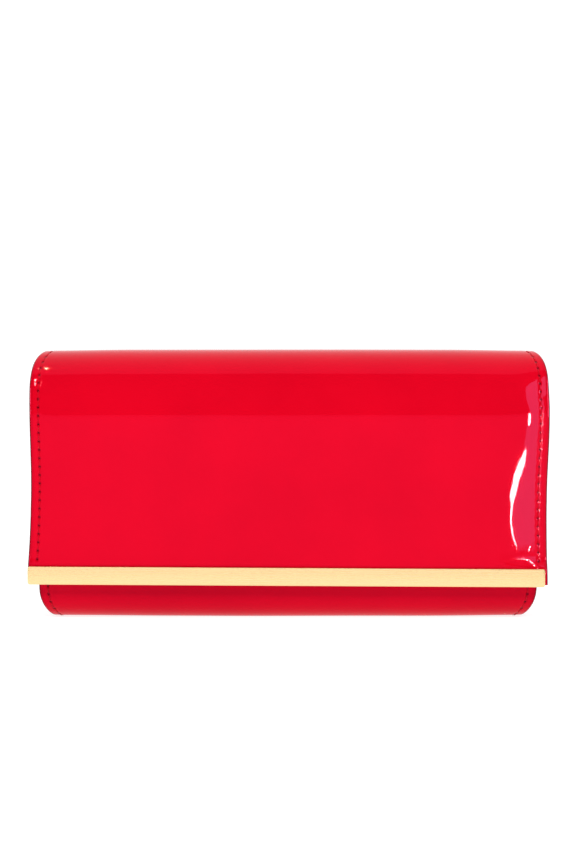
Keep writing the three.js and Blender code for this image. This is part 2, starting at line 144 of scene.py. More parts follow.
class Path2D:
    """A curve in a plane, with a place and an outward normal at each arc length."""

    def __init__(self, points, soft=0.0):
        length = arc_length(points)
        count = max(2, int(round(length[-1] / 0.2)))
        self.s = np.linspace(0, length[-1], count + 1)
        self.p = np.column_stack([np.interp(self.s, length, points[:, k]) for k in (0, 1)])
        if soft:
            self.p = np.column_stack([blurred(self.p[:, k], soft / 0.2) for k in (0, 1)])
        slope = np.gradient(self.p, self.s, axis=0)
        slope /= np.linalg.norm(slope, axis=1)[:, None]
        self.n = np.column_stack([slope[:, 1], -slope[:, 0]])
        self.length = self.s[-1]

    def at(self, s):
        return [np.interp(s, self.s, self.p[:, k]) for k in (0, 1)]

    def out(self, s):
        return [np.interp(s, self.s, self.n[:, k]) for k in (0, 1)]


def blurred(values, width):
    """Values smoothed with a bell curve of that many samples, with their ends kept."""
    reach = int(3 * width) + 1
    weights = np.exp(-0.5 * (np.arange(-reach, reach + 1) / width) ** 2)
    lead = 2 * values[0] - values[reach:0:-1]
    tail = 2 * values[-1] - values[-2 : -reach - 2 : -1]
    return np.convolve(np.r_[lead, values, tail], weights / weights.sum(), "valid")


BODY_RUNS = [
    straight((FRONT_Y, RIM_Z), (FRONT_Y, CORNER_UP)),
    arc((FRONT_Y + CORNER_ACROSS, CORNER_UP), (CORNER_ACROSS, CORNER_UP), 180, 270),
    straight((FRONT_Y + CORNER_ACROSS, 0), (BACK_Y - CORNER_ACROSS, 0)),
    arc((BACK_Y - CORNER_ACROSS, CORNER_UP), (CORNER_ACROSS, CORNER_UP), 270, 360),
    straight((BACK_Y, CORNER_UP), (BACK_Y, FOLD_Z)),
]
CROWN_RUN = arc((0, FOLD_Z), (-SHOULDER_Y, CREST_Z - FOLD_Z), 0, 180)
FLAP_STRAIGHT_Z = BAR_HIGH[2] + 6
FLAP_RUNS = [
    bezier(
        (SHOULDER_Y, FOLD_Z),
        (SHOULDER_Y, FOLD_Z - 24),
        (FLAP_LOWER_Y, FLAP_STRAIGHT_Z + 24),
        (FLAP_LOWER_Y, FLAP_STRAIGHT_Z),
    ),
    straight((FLAP_LOWER_Y, FLAP_STRAIGHT_Z), (FLAP_LOWER_Y, FLAP_END_Z)),
]
STRIP = Path2D(joined(*BODY_RUNS, CROWN_RUN, *FLAP_RUNS), soft=0.8)


def run_length(*runs):
    return arc_length(joined(*runs))[-1]


S_BASE = run_length(*BODY_RUNS[:2]) + (BACK_Y - FRONT_Y) / 2 - CORNER_ACROSS  # middle of the base
S_FOLD = run_length(*BODY_RUNS)
S_CREST = S_FOLD + run_length(CROWN_RUN) / 2
S_SHOULDER = S_FOLD + run_length(CROWN_RUN)
S_END = STRIP.length
S_BAR = S_END - (BAR_HIGH[2] - FLAP_END_Z)  # where the flap enters the bar


def drawn_in(full, z):
    t = np.clip((BASE_FLARE - z) / BASE_FLARE, 0, 1)
    return BASE_HALF + (full - BASE_HALF) * np.maximum(0, 1 - t * t) ** 0.75


def exact_half_width(s):
    y, z = STRIP.at(s)
    t = np.clip(1 + y / BACK_Y, 0, 1)
    crown = FLAP_HALF - (FLAP_HALF - CREST_HALF) * t ** 2.4 * (2.2 - 1.2 * t)
    down = np.clip((z - BAR_LOW[2]) / (FOLD_Z - BAR_LOW[2]), 0, 1)
    flap = FLAP_HALF - FLAP_WAIST * np.sin(math.pi * down) ** 2
    body = np.where(s < S_BASE, drawn_in(FRONT_HALF, z), drawn_in(CREST_HALF, z))
    return np.where(s < S_FOLD, body, np.where(s < S_SHOULDER, crown, flap))


HALF_WIDTHS = blurred(exact_half_width(STRIP.s), 1.2 / 0.2)


def half_width(s):
    return np.interp(s, STRIP.s, HALF_WIDTHS)


# ---------- How the leather gives ----------

# The flap's sides curl back towards the body: how far in from its edge each curl starts, at some heights.
CURL_TILT = {1: 17, -1: 7}  # slope at the right and left edges, in degrees
CURL_RIGHT = [(26, 29), (75, 29), (110, 25), (135, 14)]
CURL_LEFT = [(26, 8), (60, 16), (100, 14), (135, 6)]
CURL_FADES = (25, 32, 112, 132)  # heights between which the slope comes and goes


def curl_width(points):
    heights, widths = zip(*points)
    on_flap = np.where(STRIP.s < S_CREST, CREST_Z, STRIP.p[:, 1])
    return blurred(np.interp(on_flap, heights, widths), 3.0 / 0.2)


CURL_WIDTHS = {1: curl_width(CURL_RIGHT), -1: curl_width(CURL_LEFT)}


def curl(s, x):
    """How far the flap's sides bend back towards the body."""
    z = np.where(s < S_CREST, CREST_Z, STRIP.at(s)[1])
    start, full, fading, end = CURL_FADES
    held = smooth((z - start) / (full - start)) * smooth((end - z) / (end - fading))
    in_from = half_width(s) - np.abs(x)
    deep = 0
    for side in (1, -1):
        width = np.interp(s, STRIP.s, CURL_WIDTHS[side])
        bend = math.tan(math.radians(CURL_TILT[side])) / (2 * width) * np.maximum(width - in_from, 0) ** 2
        deep = deep + np.where(x * side > 0, bend, 0)
    return deep * held


FLAP_SKEW = 0.0055
PUFF = 0.5  # how much lower the crown lies at its sides


def ripple(s, x):
    """Slight unevenness of leather laid over board and foam."""
    wave = 0.06 * np.sin(x / 17 + 0.6 * np.sin(s / 29)) * np.sin(s / 23 + 0.4)
    wave += 0.05 * np.sin(x / 41 + 1.3) * np.sin(s / 14 + x / 90)
    away = smooth((S_BAR - s) / 15) * smooth(s / 15)
    on_curl = smooth((s - S_CREST) / 20) * smooth((np.abs(x) - 75) / 20)
    return wave * away * (1 - on_curl)


def give(s, x):
    """How far the strip stands out from its path, along its outward normal."""
    on_crown = np.exp(-(((s - S_CREST) / 34) ** 2))
    puff = PUFF * on_crown * (smooth((half_width(s) - np.abs(x)) / 45) - 1)
    return puff - curl(s, x) + ripple(s, x)


# How far outwards of its cut width each side of the flap and crown lies, at some heights.
SPREAD_RIGHT = [(27, -0.2), (37, 0), (47, 0.3), (60, 0.55), (108, 0.55), (118, 0.2), (135, 0.2)]
SPREAD_LEFT = [(27, 0), (37, -0.3), (57, -0.45), (77, -1.05), (88, -1.3), (98, -1.3), (118, -1.1), (135, -1.2)]


def spread(s, x):
    """Sideways shift of the flap and crown near their side edges."""
    z = np.where(s < S_CREST, CREST_Z, STRIP.at(s)[1])
    right = np.interp(z, *zip(*SPREAD_RIGHT))
    left = np.interp(z, *zip(*SPREAD_LEFT))
    near_edge = smooth((np.abs(x) - 85) / 40)
    from_back = smooth((s - S_FOLD) / (S_CREST - S_FOLD))
    return np.where(x > 0, right, -left) * near_edge * from_back


def hang(s, x):
    """The flap hangs a little lower at its right end."""
    return -FLAP_SKEW * x * smooth((s - S_SHOULDER) / (S_BAR - S_SHOULDER))


def strip_points(s, x, depth):
    """Points at arc lengths s, offsets x from the middle and depths under the leather's outer face."""
    y, z = STRIP.at(s)
    ny, nz = STRIP.out(s)
    out = give(s, x) - depth
    lift = 0.4 * smooth((np.abs(x) - 60) / 60) * np.exp(-((z / 9) ** 2)) * (s < S_FOLD)
    return np.stack([x + spread(s, x), y + ny * out, z + nz * out + lift + hang(s, x)], axis=-1)


# ---------- Meshes ----------

def round_over(distance, radius):
    """How far a face drops near an edge rounded to that radius."""
    inside = np.clip(radius - distance, 0, radius)
    return radius - np.sqrt(np.maximum(radius**2 - inside**2, 0))


EDGE_STEPS = np.array([0, 0.1, 0.28, 0.5, 0.8, 1.2])


def new_object(name, points, faces, materials=(), face_material=None, smooth_faces=True):
    used = np.unique(np.concatenate([np.array(f).ravel() for f in faces]))
    renumber = np.full(len(points), -1)
    renumber[used] = np.arange(len(used))
    mesh = bpy.data.meshes.new(name)
    mesh.from_pydata((points[used] * MM).tolist(), [], [renumber[list(f)].tolist() for f in faces])
    mesh.validate()
    for m in materials:
        mesh.materials.append(m)
    if face_material is not None:
        mesh.polygons.foreach_set("material_index", np.array(face_material, np.int32))
    if smooth_faces:
        mesh.shade_smooth()
    obj = bpy.data.objects.new(name, mesh)
    bpy.context.scene.collection.objects.link(obj)
    return obj, used


def point_attribute(obj, name, values):
    obj.data.attributes.new(name, "FLOAT", "POINT").data.foreach_set("value", values.astype(np.float32))


def grid_quads(index):
    a, b, c, d = index[:-1, :-1], index[1:, :-1], index[1:, 1:], index[:-1, 1:]
    return np.stack([a, b, c, d], axis=-1).reshape(-1, 4)


def grid_normals(grid):
    down, across = np.gradient(grid, axis=0), np.gradient(grid, axis=1)
    n = np.cross(down, across)
    return n / np.maximum(np.linalg.norm(n, axis=2), 1e-9)[..., None]


def slab(name, outer, inner, materials, edge_faces=None, around=False, attributes=None, normals=None):
    """A closed piece between two grids of points, joined along their borders.
    around says that the last column meets the first. normals fixes chosen points' normals, as (row, outer, inner)."""
    rows, cols = outer.shape[:2]
    top = np.arange(rows * cols).reshape(rows, cols)
    same = np.linalg.norm(outer - inner, axis=2) < 1e-3
    under = np.where(same, top, top + rows * cols)
    if around:
        wrapped = [np.concatenate([g, g[:, :1]], axis=1) for g in (top, under)]
    else:
        wrapped = [top, under]
    up, low = wrapped
    faces = [f for f in grid_quads(up)] + [f[::-1] for f in grid_quads(low)]
    painted = []
    if edge_faces is not None:
        painted = [bool(v) for v in edge_faces.reshape(-1)] * 2
    borders = [(up[0], low[0]), (low[-1], up[-1])]
    if not around:
        borders += [(low[:, 0], up[:, 0]), (up[:, -1], low[:, -1])]
    for first, second in borders:
        for k in range(len(first) - 1):
            ring = [first[k], first[k + 1], second[k + 1], second[k]]
            ring = [v for i, v in enumerate(ring) if v != ring[i - 1]]
            if len(set(ring)) >= 3:
                faces.append(np.array(ring))
                painted.append(True)
    points = np.concatenate([outer.reshape(-1, 3), inner.reshape(-1, 3)])
    slots = [int(p) for p in painted] if edge_faces is not None else None
    obj, used = new_object(name, points, faces, materials, slots)
    for key, values in (attributes or {}).items():
        point_attribute(obj, key, np.tile(np.broadcast_to(values, outer.shape[:2]).ravel(), 2)[used])
    if normals:
        vectors = np.zeros(len(points) * 3)
        every = np.zeros((len(obj.data.vertices), 3), np.float32)
        obj.data.vertices.foreach_get("normal", every.ravel())
        vectors = every.copy()
        place = np.full(len(points), -1)
        place[used] = np.arange(len(used))
        for row, out_n, in_n in normals:
            vectors[place[top[row]]] = out_n
            lower = place[under[row]]
            vectors[lower[~same[row]]] = in_n[~same[row]]
        obj.data.normals_split_custom_set_from_vertices(vectors.tolist())
    return obj


def stations(start, end, step, round_start, round_end):
    inner = np.arange(math.ceil(start / step), math.floor(end / step) + 1) * step
    s = [start, end, *inner]
    if round_start:
        s += list(start + EDGE_STEPS)
    if round_end:
        s += list(end - EDGE_STEPS)
    s = np.unique(np.round(s, 4))
    keep = np.r_[True, np.diff(s) > 0.05]
    keep[-1] = True
    return s[keep]


def across_steps(fine):
    """Distances from a side edge, close together where the leather is rounded, sewn and curled."""
    near = [1.7, 2.4, 3.2, 3.7, 4.1, 4.5, 4.9, 5.3, 5.9] if fine else [3, 6]
    far = np.arange(7, 31, 1.25) if fine else np.arange(9, 31, 3)
    return np.concatenate([EDGE_STEPS, near, far])


def strip_layer(name, start, end, outer_at, inner_at, inset, edge, materials, fine=False, round_start=False,
                round_end=False, step=2.5, painted=0.0, split_start=False, split_end=False):
    """A layer of the strip between two arc lengths. outer_at and inner_at give depths, as numbers or functions of
    place and of the distances to a side and an end. edge is the thickness at the rounded edges."""
    s = stations(start, end, step, round_start, round_end)
    side = across_steps(fine)
    middle = np.linspace(0, 1, 32 if fine else 24)[1:-1]

    def grid(s):
        half = (half_width(s) - inset)[:, None]
        core = half - side[-1]
        x = np.concatenate([-half + side, -core + 2 * core * middle, (half - side)[:, ::-1]], axis=1)
        s = np.repeat(s[:, None], x.shape[1], axis=1)
        e = half - np.abs(x)
        far = np.full(s.shape, 1e3)
        if round_start:
            far = np.minimum(far, np.clip(s - start, 0, None))
        if round_end:
            far = np.minimum(far, np.clip(end - s, 0, None))
        top = outer_at(s, x, e, far) if callable(outer_at) else outer_at
        low = inner_at(s, x, e, far) if callable(inner_at) else inner_at
        drop = round_over(np.minimum(e, far), edge / 2)
        up = top + drop
        down = np.maximum(low - drop, up)
        closed = np.minimum(e, far) < 1e-6
        mid = np.maximum(top, 0) + edge / 2
        up, down = np.where(closed, mid, up), np.where(closed, mid, down)
        return strip_points(s, x, up), strip_points(s, x, down), e, s, far

    outer, inner, e, along, far = grid(s)
    more = grid(np.r_[s[0] - 0.5, s, s[-1] + 0.5])
    out_n, in_n = grid_normals(more[0]), -grid_normals(more[1])
    fixed = []
    if split_start:
        fixed.append((0, out_n[1], in_n[1]))
    if split_end:
        fixed.append((len(s) - 1, out_n[-2], in_n[-2]))
    near = np.minimum(e, far)
    edge_faces = (near[:-1, :-1] + near[1:, 1:]) / 2 < painted if painted else None
    # A mask around each stitch hole; the patent leather's material darkens its base colour there as painted shade in
    # the holes.
    hole = np.exp(-((hole_gap(along) / 0.8) ** 2)) * np.exp(-(((e - STITCH_IN + inset) / 0.65) ** 2))
    attributes = {"edge_mm": near, "hole": hole if fine else np.zeros_like(hole), "along": along}
    return slab(name, outer, inner, materials, edge_faces, attributes=attributes, normals=fixed)


def hole_gap(s):
    """Distance along the strip to the nearest stitch hole."""
    return np.abs((s / PITCH + 0.5) % 1 - 0.5) * PITCH


def tube(name, centre, radius, sides, materials, closed=False, up=(0, 0, 1)):
    """A round bar along a line of points. radius may differ at each point."""
    centre = np.array(centre, float)
    n = len(centre)
    if closed:
        along = np.roll(centre, -1, axis=0) - np.roll(centre, 1, axis=0)
    else:
        along = np.gradient(centre, axis=0)
    along /= np.linalg.norm(along, axis=1)[:, None]
    first = np.cross(along, np.broadcast_to(np.array(up, float), along.shape))
    first /= np.linalg.norm(first, axis=1)[:, None]
    second = np.cross(along, first)
    angle = np.arange(sides) / sides * 2 * math.pi
    r = np.broadcast_to(np.array(radius, float), n)[:, None, None]
    ring = first[:, None] * np.cos(angle)[None, :, None] + second[:, None] * np.sin(angle)[None, :, None]
    points = (centre[:, None] + ring * r).reshape(-1, 3)
    index = np.arange(n * sides).reshape(n, sides)
    index = np.concatenate([index, index[:, :1]], axis=1)
    if closed:
        index = np.concatenate([index, index[:1]], axis=0)
    faces = [f for f in grid_quads(index)]
    if not closed:
        faces += [index[0, :-1][::1], index[-1, :-1][::-1]]
    return new_object(name, points, faces, materials)[0]


def lathe(name, centre, section, materials, facing=-1, segments=72):
    """A turned piece about Y at centre. section is [radius, height] pairs from the axis to the axis; facing is the
    way its heights grow along Y."""
    section = np.array(section, float)
    angle = np.arange(segments) / segments * 2 * math.pi
    r, h = section[:, :1], section[:, 1:]
    grid = np.stack([r * np.cos(angle), np.broadcast_to(h * facing, (len(section), segments)), r * np.sin(angle)], -1)
    grid = grid + np.array(centre)
    index = np.arange(len(section) * segments).reshape(len(section), segments)
    for row in np.where(section[:, 0] < 1e-9)[0]:
        index[row] = index[row, 0]
    index = np.concatenate([index, index[:, :1]], axis=1)
    if section[0, 0] > 1e-9:
        index = np.concatenate([index, index[:1]], axis=0)
    faces = []
    for quad in grid_quads(index):
        ring = [v for i, v in enumerate(quad) if v != quad[i - 1]]
        if len(set(ring)) >= 3:
            faces.append(np.array(ring if facing < 0 else ring[::-1]))
    return new_object(name, grid.reshape(-1, 3), faces, materials)[0]


def merge(name, pieces):
    """Several objects made one."""
    with bpy.context.temp_override(active_object=pieces[0], selected_editable_objects=pieces):
        bpy.ops.object.join()
    pieces[0].name = name
    return pieces[0]


def bevelled(obj, width, angle=40, segments=3):
    """The object with its sharp edges rounded off."""
    modifier = obj.modifiers.new("rounding", "BEVEL")
    modifier.width = width * MM
    modifier.segments = segments
    modifier.limit_method = "ANGLE"
    modifier.angle_limit = math.radians(angle)
    modifier.harden_normals = True
    return settled(obj)


def settled(obj):
    """The object with its modifiers applied."""
    graph = bpy.context.evaluated_depsgraph_get()
    mesh = bpy.data.meshes.new_from_object(obj.evaluated_get(graph))
    obj.modifiers.clear()
    obj.data = mesh
    return obj


# ---------- Materials ----------

def new_material(name, **sockets):
    material = bpy.data.materials.new(name)
    material.use_nodes = True
    shader = material.node_tree.nodes["Principled BSDF"]
    for key, value in sockets.items():
        socket = shader.inputs[key.replace("_", " ")]
        socket.default_value = (*value, 1) if isinstance(value, tuple) and len(value) == 3 else value
    return material


class Nodes:
    """Short calls for one material's node tree."""

    def __init__(self, material):
        self.tree = material.node_tree
        self.shader = self.tree.nodes["Principled BSDF"]

    def add(self, kind, values=None, **settings):
        node = self.tree.nodes.new(kind)
        for key, value in settings.items():
            setattr(node, key, value)
        for key, value in (values or {}).items():
            if isinstance(value, bpy.types.NodeSocket):
                self.tree.links.new(value, node.inputs[key])
            else:
                node.inputs[key].default_value = value
        return node

    def place(self, kind="Object", scale=(1, 1, 1)):
        where = self.add("ShaderNodeTexCoord")
        return self.add("ShaderNodeMapping", {"Vector": where.outputs[kind], "Scale": scale}).outputs[0]

    def attribute(self, name):
        return self.add("ShaderNodeAttribute", attribute_name=name).outputs["Fac"]

    def noise(self, vector, scale, detail=3.0, roughness=0.5):
        values = {"Vector": vector, "Scale": scale, "Detail": detail, "Roughness": roughness}
        return self.add("ShaderNodeTexNoise", values).outputs["Fac"]

    def spread(self, value, low, high, to_low, to_high):
        values = {"Value": value, "From Min": low, "From Max": high, "To Min": to_low, "To Max": to_high}
        return self.add("ShaderNodeMapRange", values).outputs["Result"]

    def maths(self, operation, a, b):
        return self.add("ShaderNodeMath", {0: a, 1: b}, operation=operation).outputs[0]

    def mix(self, factor, a, b, blend="MIX"):
        node = self.add("ShaderNodeMix", data_type="RGBA", blend_type=blend)
        for socket, value in ((node.inputs[0], factor), (node.inputs[6], a), (node.inputs[7], b)):
            if isinstance(value, bpy.types.NodeSocket):
                self.tree.links.new(value, socket)
            else:
                socket.default_value = (*value, 1) if isinstance(value, tuple) else value
        return node.outputs[2]

    def bump(self, height, strength, distance, normal=None):
        values = {"Height": height, "Strength": strength, "Distance": distance * MM}
        if normal is not None:
            values["Normal"] = normal
        return self.add("ShaderNodeBump", values).outputs[0]

    def use(self, socket, value):
        self.tree.links.new(value, self.shader.inputs[socket])


PATENT_RED = (0.645, 0.0012, 0.0125)
PATENT_SHADE = (0.60, 0.001, 0.0115)


def patent_leather():
    material = new_material("patent_leather", Roughness=0.04, IOR=1.5, Specular_Tint=(1.0, 0.05, 0.2))
    n = Nodes(material)
    where = n.place()
    cloudy = n.noise(where, 22, 4)
    tone = n.mix(n.spread(cloudy, 0.35, 0.65, 0, 1), PATENT_SHADE, PATENT_RED)
    # Base colour: up to a quarter darker within about 2 mm of the edges, and cut to about an eighth at each stitch
    # hole, which is painted shade in the holes.
    edge = n.spread(n.attribute("edge_mm"), 0.6, 2.2, 0.75, 1.0)
    hole = n.spread(n.attribute("hole"), 0.1, 0.8, 1.0, 0.12)
    shade = n.maths("MULTIPLY", edge, hole)
    grey = n.add("ShaderNodeCombineColor", {0: shade, 1: shade, 2: shade}).outputs[0]
    n.use("Base Color", n.mix(1.0, tone, grey, "MULTIPLY"))
    scuff = n.noise(where, 160, 6, 0.7)
    n.use("Roughness", n.spread(scuff, 0.4, 0.75, 0.02, 0.05))
    sag = n.bump(n.noise(where, 34, 2), 0.05, 0.2)
    peel = n.bump(n.noise(where, 420, 2), 0.09, 0.03, sag)
    n.use("Normal", peel)
    return material


def painted_edge():
    material = new_material("painted_edge", Roughness=0.6, Specular_IOR_Level=0.0)
    n = Nodes(material)
    where = n.place()
    n.use("Base Color", n.mix(n.noise(where, 240, 3), (0.10, 0.002, 0.010), (0.18, 0.004, 0.018)))
    n.use("Normal", n.bump(n.noise(where, 700, 3), 0.3, 0.08))
    return material


def lining_leather():
    material = new_material("lining_leather", Roughness=0.42, Specular_IOR_Level=0.4)
    n = Nodes(material)
    where = n.place()
    n.use("Base Color", n.mix(n.noise(where, 30, 4), (0.34, 0.004, 0.014), (0.44, 0.006, 0.02)))
    cells = n.add("ShaderNodeTexVoronoi", {"Vector": where, "Scale": 1100.0}, feature="SMOOTH_F1").outputs["Distance"]
    n.use("Roughness", n.spread(cells, 0.1, 0.8, 0.36, 0.52))
    n.use("Normal", n.bump(cells, 0.35, 0.09, n.bump(n.noise(where, 60, 3), 0.25, 0.3)))
    return material


def satin_cloth():
    material = new_material("satin_cloth", Roughness=0.38, Anisotropic=0.5, Sheen_Weight=0.25, Sheen_Roughness=0.4,
                            Sheen_Tint=(0.9, 0.35, 0.4))
    n = Nodes(material)
    where = n.place()
    warp = n.add("ShaderNodeTexWave", {"Vector": where, "Scale": 640.0, "Distortion": 1.5, "Detail": 1.0},
                 bands_direction="X").outputs["Fac"]
    weft = n.add("ShaderNodeTexWave", {"Vector": where, "Scale": 520.0, "Distortion": 1.0, "Detail": 1.0},
                 bands_direction="Z").outputs["Fac"]
    weave = n.maths("MAXIMUM", warp, n.maths("MULTIPLY", weft, 0.7))
    tone = n.mix(n.noise(where, 18, 3), (0.11, 0.004, 0.012), (0.17, 0.006, 0.018))
    n.use("Base Color", n.mix(n.spread(weave, 0, 1, 0.0, 0.35), tone, (0.25, 0.012, 0.03)))
    n.use("Normal", n.bump(weave, 0.3, 0.05, n.bump(n.noise(where, 45, 3), 0.35, 0.5)))
    return material


def sewing_thread():
    material = new_material("sewing_thread", Roughness=0.42, Specular_IOR_Level=0.35, Specular_Tint=(1.0, 0.3, 0.35))
    n = Nodes(material)
    where = n.place()
    twist = n.add("ShaderNodeTexWave", {"Vector": where, "Scale": 1500.0}, bands_direction="DIAGONAL").outputs["Fac"]
    n.use("Base Color", n.mix(twist, (0.42, 0.0015, 0.009), (0.62, 0.003, 0.016)))
    n.use("Normal", n.bump(twist, 0.5, 0.05))
    return material


def satin_gold(name, low, high, rough, brush):
    """Plated metal, brushed along X. low and high are its darker and lighter tones."""
    material = new_material(name, Metallic=1.0, Roughness=rough)
    n = Nodes(material)
    fine = n.noise(n.place(scale=(brush, 60, 60)), 26, 5, 0.65)
    cloudy = n.noise(n.place(), 28, 3)
    n.use("Base Color", n.mix(cloudy, low, high))
    n.use("Roughness", n.spread(fine, 0.3, 0.7, rough - 0.03, rough + 0.04))
    n.use("Normal", n.bump(fine, 0.06, 0.02))
    return material


def grey_board():
    material = new_material("grey_board", Roughness=0.9)
    n = Nodes(material)
    where = n.place()
    n.use("Base Color", n.mix(n.noise(where, 420, 4), (0.30, 0.27, 0.22), (0.42, 0.39, 0.33)))
    n.use("Normal", n.bump(n.noise(where, 900, 3), 0.3, 0.1))
    return material


def foam():
    material = new_material("foam", Roughness=0.95)
    n = Nodes(material)
    cells = n.add("ShaderNodeTexVoronoi", {"Vector": n.place(), "Scale": 900.0}).outputs["Distance"]
    n.use("Base Color", n.mix(cells, (0.62, 0.58, 0.48), (0.80, 0.77, 0.68)))
    n.use("Normal", n.bump(cells, 0.4, 0.2))
    return material


PATENT = patent_leather()
EDGE_PAINT = painted_edge()
LINING_LEATHER = lining_leather()
SATIN = satin_cloth()
THREAD = sewing_thread()
BAR_GOLD = satin_gold("bar_gold", (0.93, 0.655, 0.33), (0.95, 0.68, 0.35), 0.27, 1.5)
RING_GOLD = satin_gold("polished_gold", (0.86, 0.58, 0.26), (0.95, 0.68, 0.34), 0.14, 30)
SNAP_GOLD = satin_gold("snap_gold", (0.72, 0.52, 0.27), (0.84, 0.64, 0.36), 0.22, 40)
MAGNET_METAL = satin_gold("magnet_metal", (0.50, 0.40, 0.26), (0.62, 0.52, 0.36), 0.33, 40)
BOARD = grey_board()
FOAM = foam()


# ---------- Attaching pieces to the body and hiding the CAD nodes they replace; pieces over the folds stay unattached ---


def on_body(obj, slot, *nodes):
    return finished(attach(obj, "body"), nodes)


def over_back_fold(obj, slot, *nodes):
    return finished(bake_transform(obj), nodes)


def over_front_fold(obj, slot, *nodes):
    return finished(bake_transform(obj), nodes)


def finished(obj, nodes):
    if nodes:
        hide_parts(*nodes)
    return obj


# ---------- Patent leather strip ----------

def skin_depth(s, x, e, far):
    """The leather's inner face: deep at its glued edges, where no board lies behind it."""
    side = 1 - smooth((e - 4) / 2.5)
    end = 1 - smooth((far - 0.8) / 0.9)
    return LEATHER + (EDGE - LEATHER) * np.maximum(side, end)


def sewn_face(s, x, e, far):
    """How the stitching pulls the leather in along its sides."""
    line = np.exp(-(((e - STITCH_IN) / 0.5) ** 2))
    band = 1 - smooth((e - 3.4) / 1.6)
    hole = np.exp(-((hole_gap(s) / 0.55) ** 2))
    ends = smooth(far / 3)
    pinch = 0.45 * smooth((s - S_BAR + 1.3) / 1.5)
    return ends * (line * (0.12 + 0.4 * hole) + 0.12 * band * smooth(e / 1.2)) + pinch


STRIP_LOOK = dict(outer_at=sewn_face, inner_at=skin_depth, inset=0, edge=EDGE, fine=True,
                  step=PITCH / 5, painted=0.55, materials=[PATENT, EDGE_PAINT])
on_body(
    strip_layer("front_and_base_leather", 0, S_BASE, round_start=True, split_end=True, **STRIP_LOOK),
    "patent_leather", "body_skin",
)
over_back_fold(
    strip_layer("back_and_crown_leather", S_BASE, S_CREST, split_start=True, split_end=True, **STRIP_LOOK),
    "patent_leather", "crown_skin",
)
over_front_fold(
    strip_layer("flap_leather", S_CREST, S_END, split_start=True, **STRIP_LOOK),
    "patent_leather", "flap_skin",
)

# ---------- Stiffening and foam, inside ----------

BOARD_LOOK = dict(outer_at=1.3, inner_at=2.3, inset=7, edge=1.0)
BOARD_RUNS = {
    "front_board": (2, RIM_Z - CORNER_UP - 2),
    "base_board": (RIM_Z - CORNER_UP + 2, S_FOLD - (FOLD_Z - CORNER_UP) - 2),
    "back_board": (S_FOLD - (FOLD_Z - CORNER_UP) + 2, S_FOLD - 8),
}
for node, (start, end) in BOARD_RUNS.items():
    piece = strip_layer(f"{node}_sheet", start, end, materials=[BOARD], **BOARD_LOOK)
    on_body(piece, "stiffening_board", node)
flap_board = strip_layer("flap_board_sheet", S_SHOULDER + 9, S_END, materials=[BOARD], **BOARD_LOOK)
finished(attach(flap_board, "flap"), ["flap_board"])
crown_pad = strip_layer("crown_foam_pad", S_FOLD + 9, S_SHOULDER - 9, materials=[FOAM], **BOARD_LOOK)
finished(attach(crown_pad, "crown"), ["crown_foam"])

# ---------- Linings ----------

FACING_S = 22
LINING_LOOK = dict(outer_at=LINING_AT, inset=LINING_INSET, materials=[LINING_LEATHER])
on_body(
    strip_layer("front_rim_facing", 0.4, FACING_S, inner_at=FACING_TO, edge=0.8, round_start=True, round_end=True,
                **{**LINING_LOOK, "materials": [PATENT]}),
    "patent_leather", "front_facing",
)
over_back_fold(
    strip_layer("back_facing_and_crown_lining", S_FOLD - FACING_S, S_CREST, inner_at=LINING_TO, edge=0.6,
                round_start=True, split_end=True, **LINING_LOOK),
    "flap_lining_leather", "back_facing", "crown_lining",
)
over_front_fold(
    strip_layer("flap_underside", S_CREST, S_END, inner_at=LINING_TO, edge=0.6, split_start=True, **LINING_LOOK),
    "flap_lining_leather", "flap_lining",
)


POCKET_LOW, POCKET_HIGH = box_mm("slip_pocket")


def satin_slack(s, x, e, far):
    """The satin's inner face, with loose folds where it isn't sewn and none under the pocket."""
    z = STRIP.at(s)[1]
    held = smooth(e / 16) * smooth(far / 9)
    beside = smooth((np.abs(x) - POCKET_HIGH[0] - 3) / 8)
    beside = np.maximum(beside, smooth((POCKET_LOW[2] - 4 - z) / 8))
    beside = np.where(s > S_BASE, beside, 1)
    folds = 0.5 + 0.5 * np.sin(s / 6.5 + 1.1 * np.sin(x / 19) + 0.5 * np.sin(x / 7.7 + s / 31))
    return LINING_TO + 0.75 * held * beside * folds


lining_from, lining_to = FACING_S + 0.3, S_FOLD - FACING_S - 0.3
satin_lining = strip_layer(
    "satin_lining_cloth", lining_from, lining_to, outer_at=LINING_AT, inner_at=satin_slack, inset=LINING_INSET,
    edge=0.6, round_start=True, round_end=True, materials=[SATIN], step=1.3,
)
on_body(satin_lining, "satin_lining", "body_lining")

# The slip pocket: a satin patch with its sides and foot sewn to the lining, and a leather binding on its mouth.
pocket_half, pocket_tall = POCKET_HIGH[0], POCKET_HIGH[2] - POCKET_LOW[2]


def pocket_face(x, up):
    """The middle of the pocket's cloth, at offset x and height up over its foot."""
    side = smooth((pocket_half - np.abs(x)) / 14)
    rise = smooth(up / 14)
    sag = 0.35 * np.sin(x / 13 + 0.6) * np.sin(up / 16 + 0.4)
    return BACK_Y - LINING_TO - 0.55 - side * rise * (0.95 + 0.35 * np.cos(x / pocket_half * 2) + sag)


def pocket_patch():
    inset = np.r_[EDGE_STEPS[:5] * 0.4, 1.5, 3]
    xs = np.r_[-pocket_half + inset, np.linspace(-pocket_half + 5, pocket_half - 5, 61), (pocket_half - inset)[::-1]]
    ups = np.r_[inset, np.linspace(5, pocket_tall - 0.3, 27)]
    x, up = np.meshgrid(xs, ups)
    near = np.minimum(pocket_half - np.abs(x), up)
    tuck = np.clip(4 - up, 0, 4) * np.clip(4 - (pocket_half - np.abs(x)), 0, 4) / 14 * np.sign(x)
    drop = np.minimum(round_over(near, 0.35), 0.33)
    face = pocket_face(x, up)
    place = [np.stack([x - tuck, face + way * (0.35 - drop), up + POCKET_LOW[2]], axis=-1) for way in (-1, 1)]
    return slab("pocket_cloth", place[0], place[1], [SATIN])


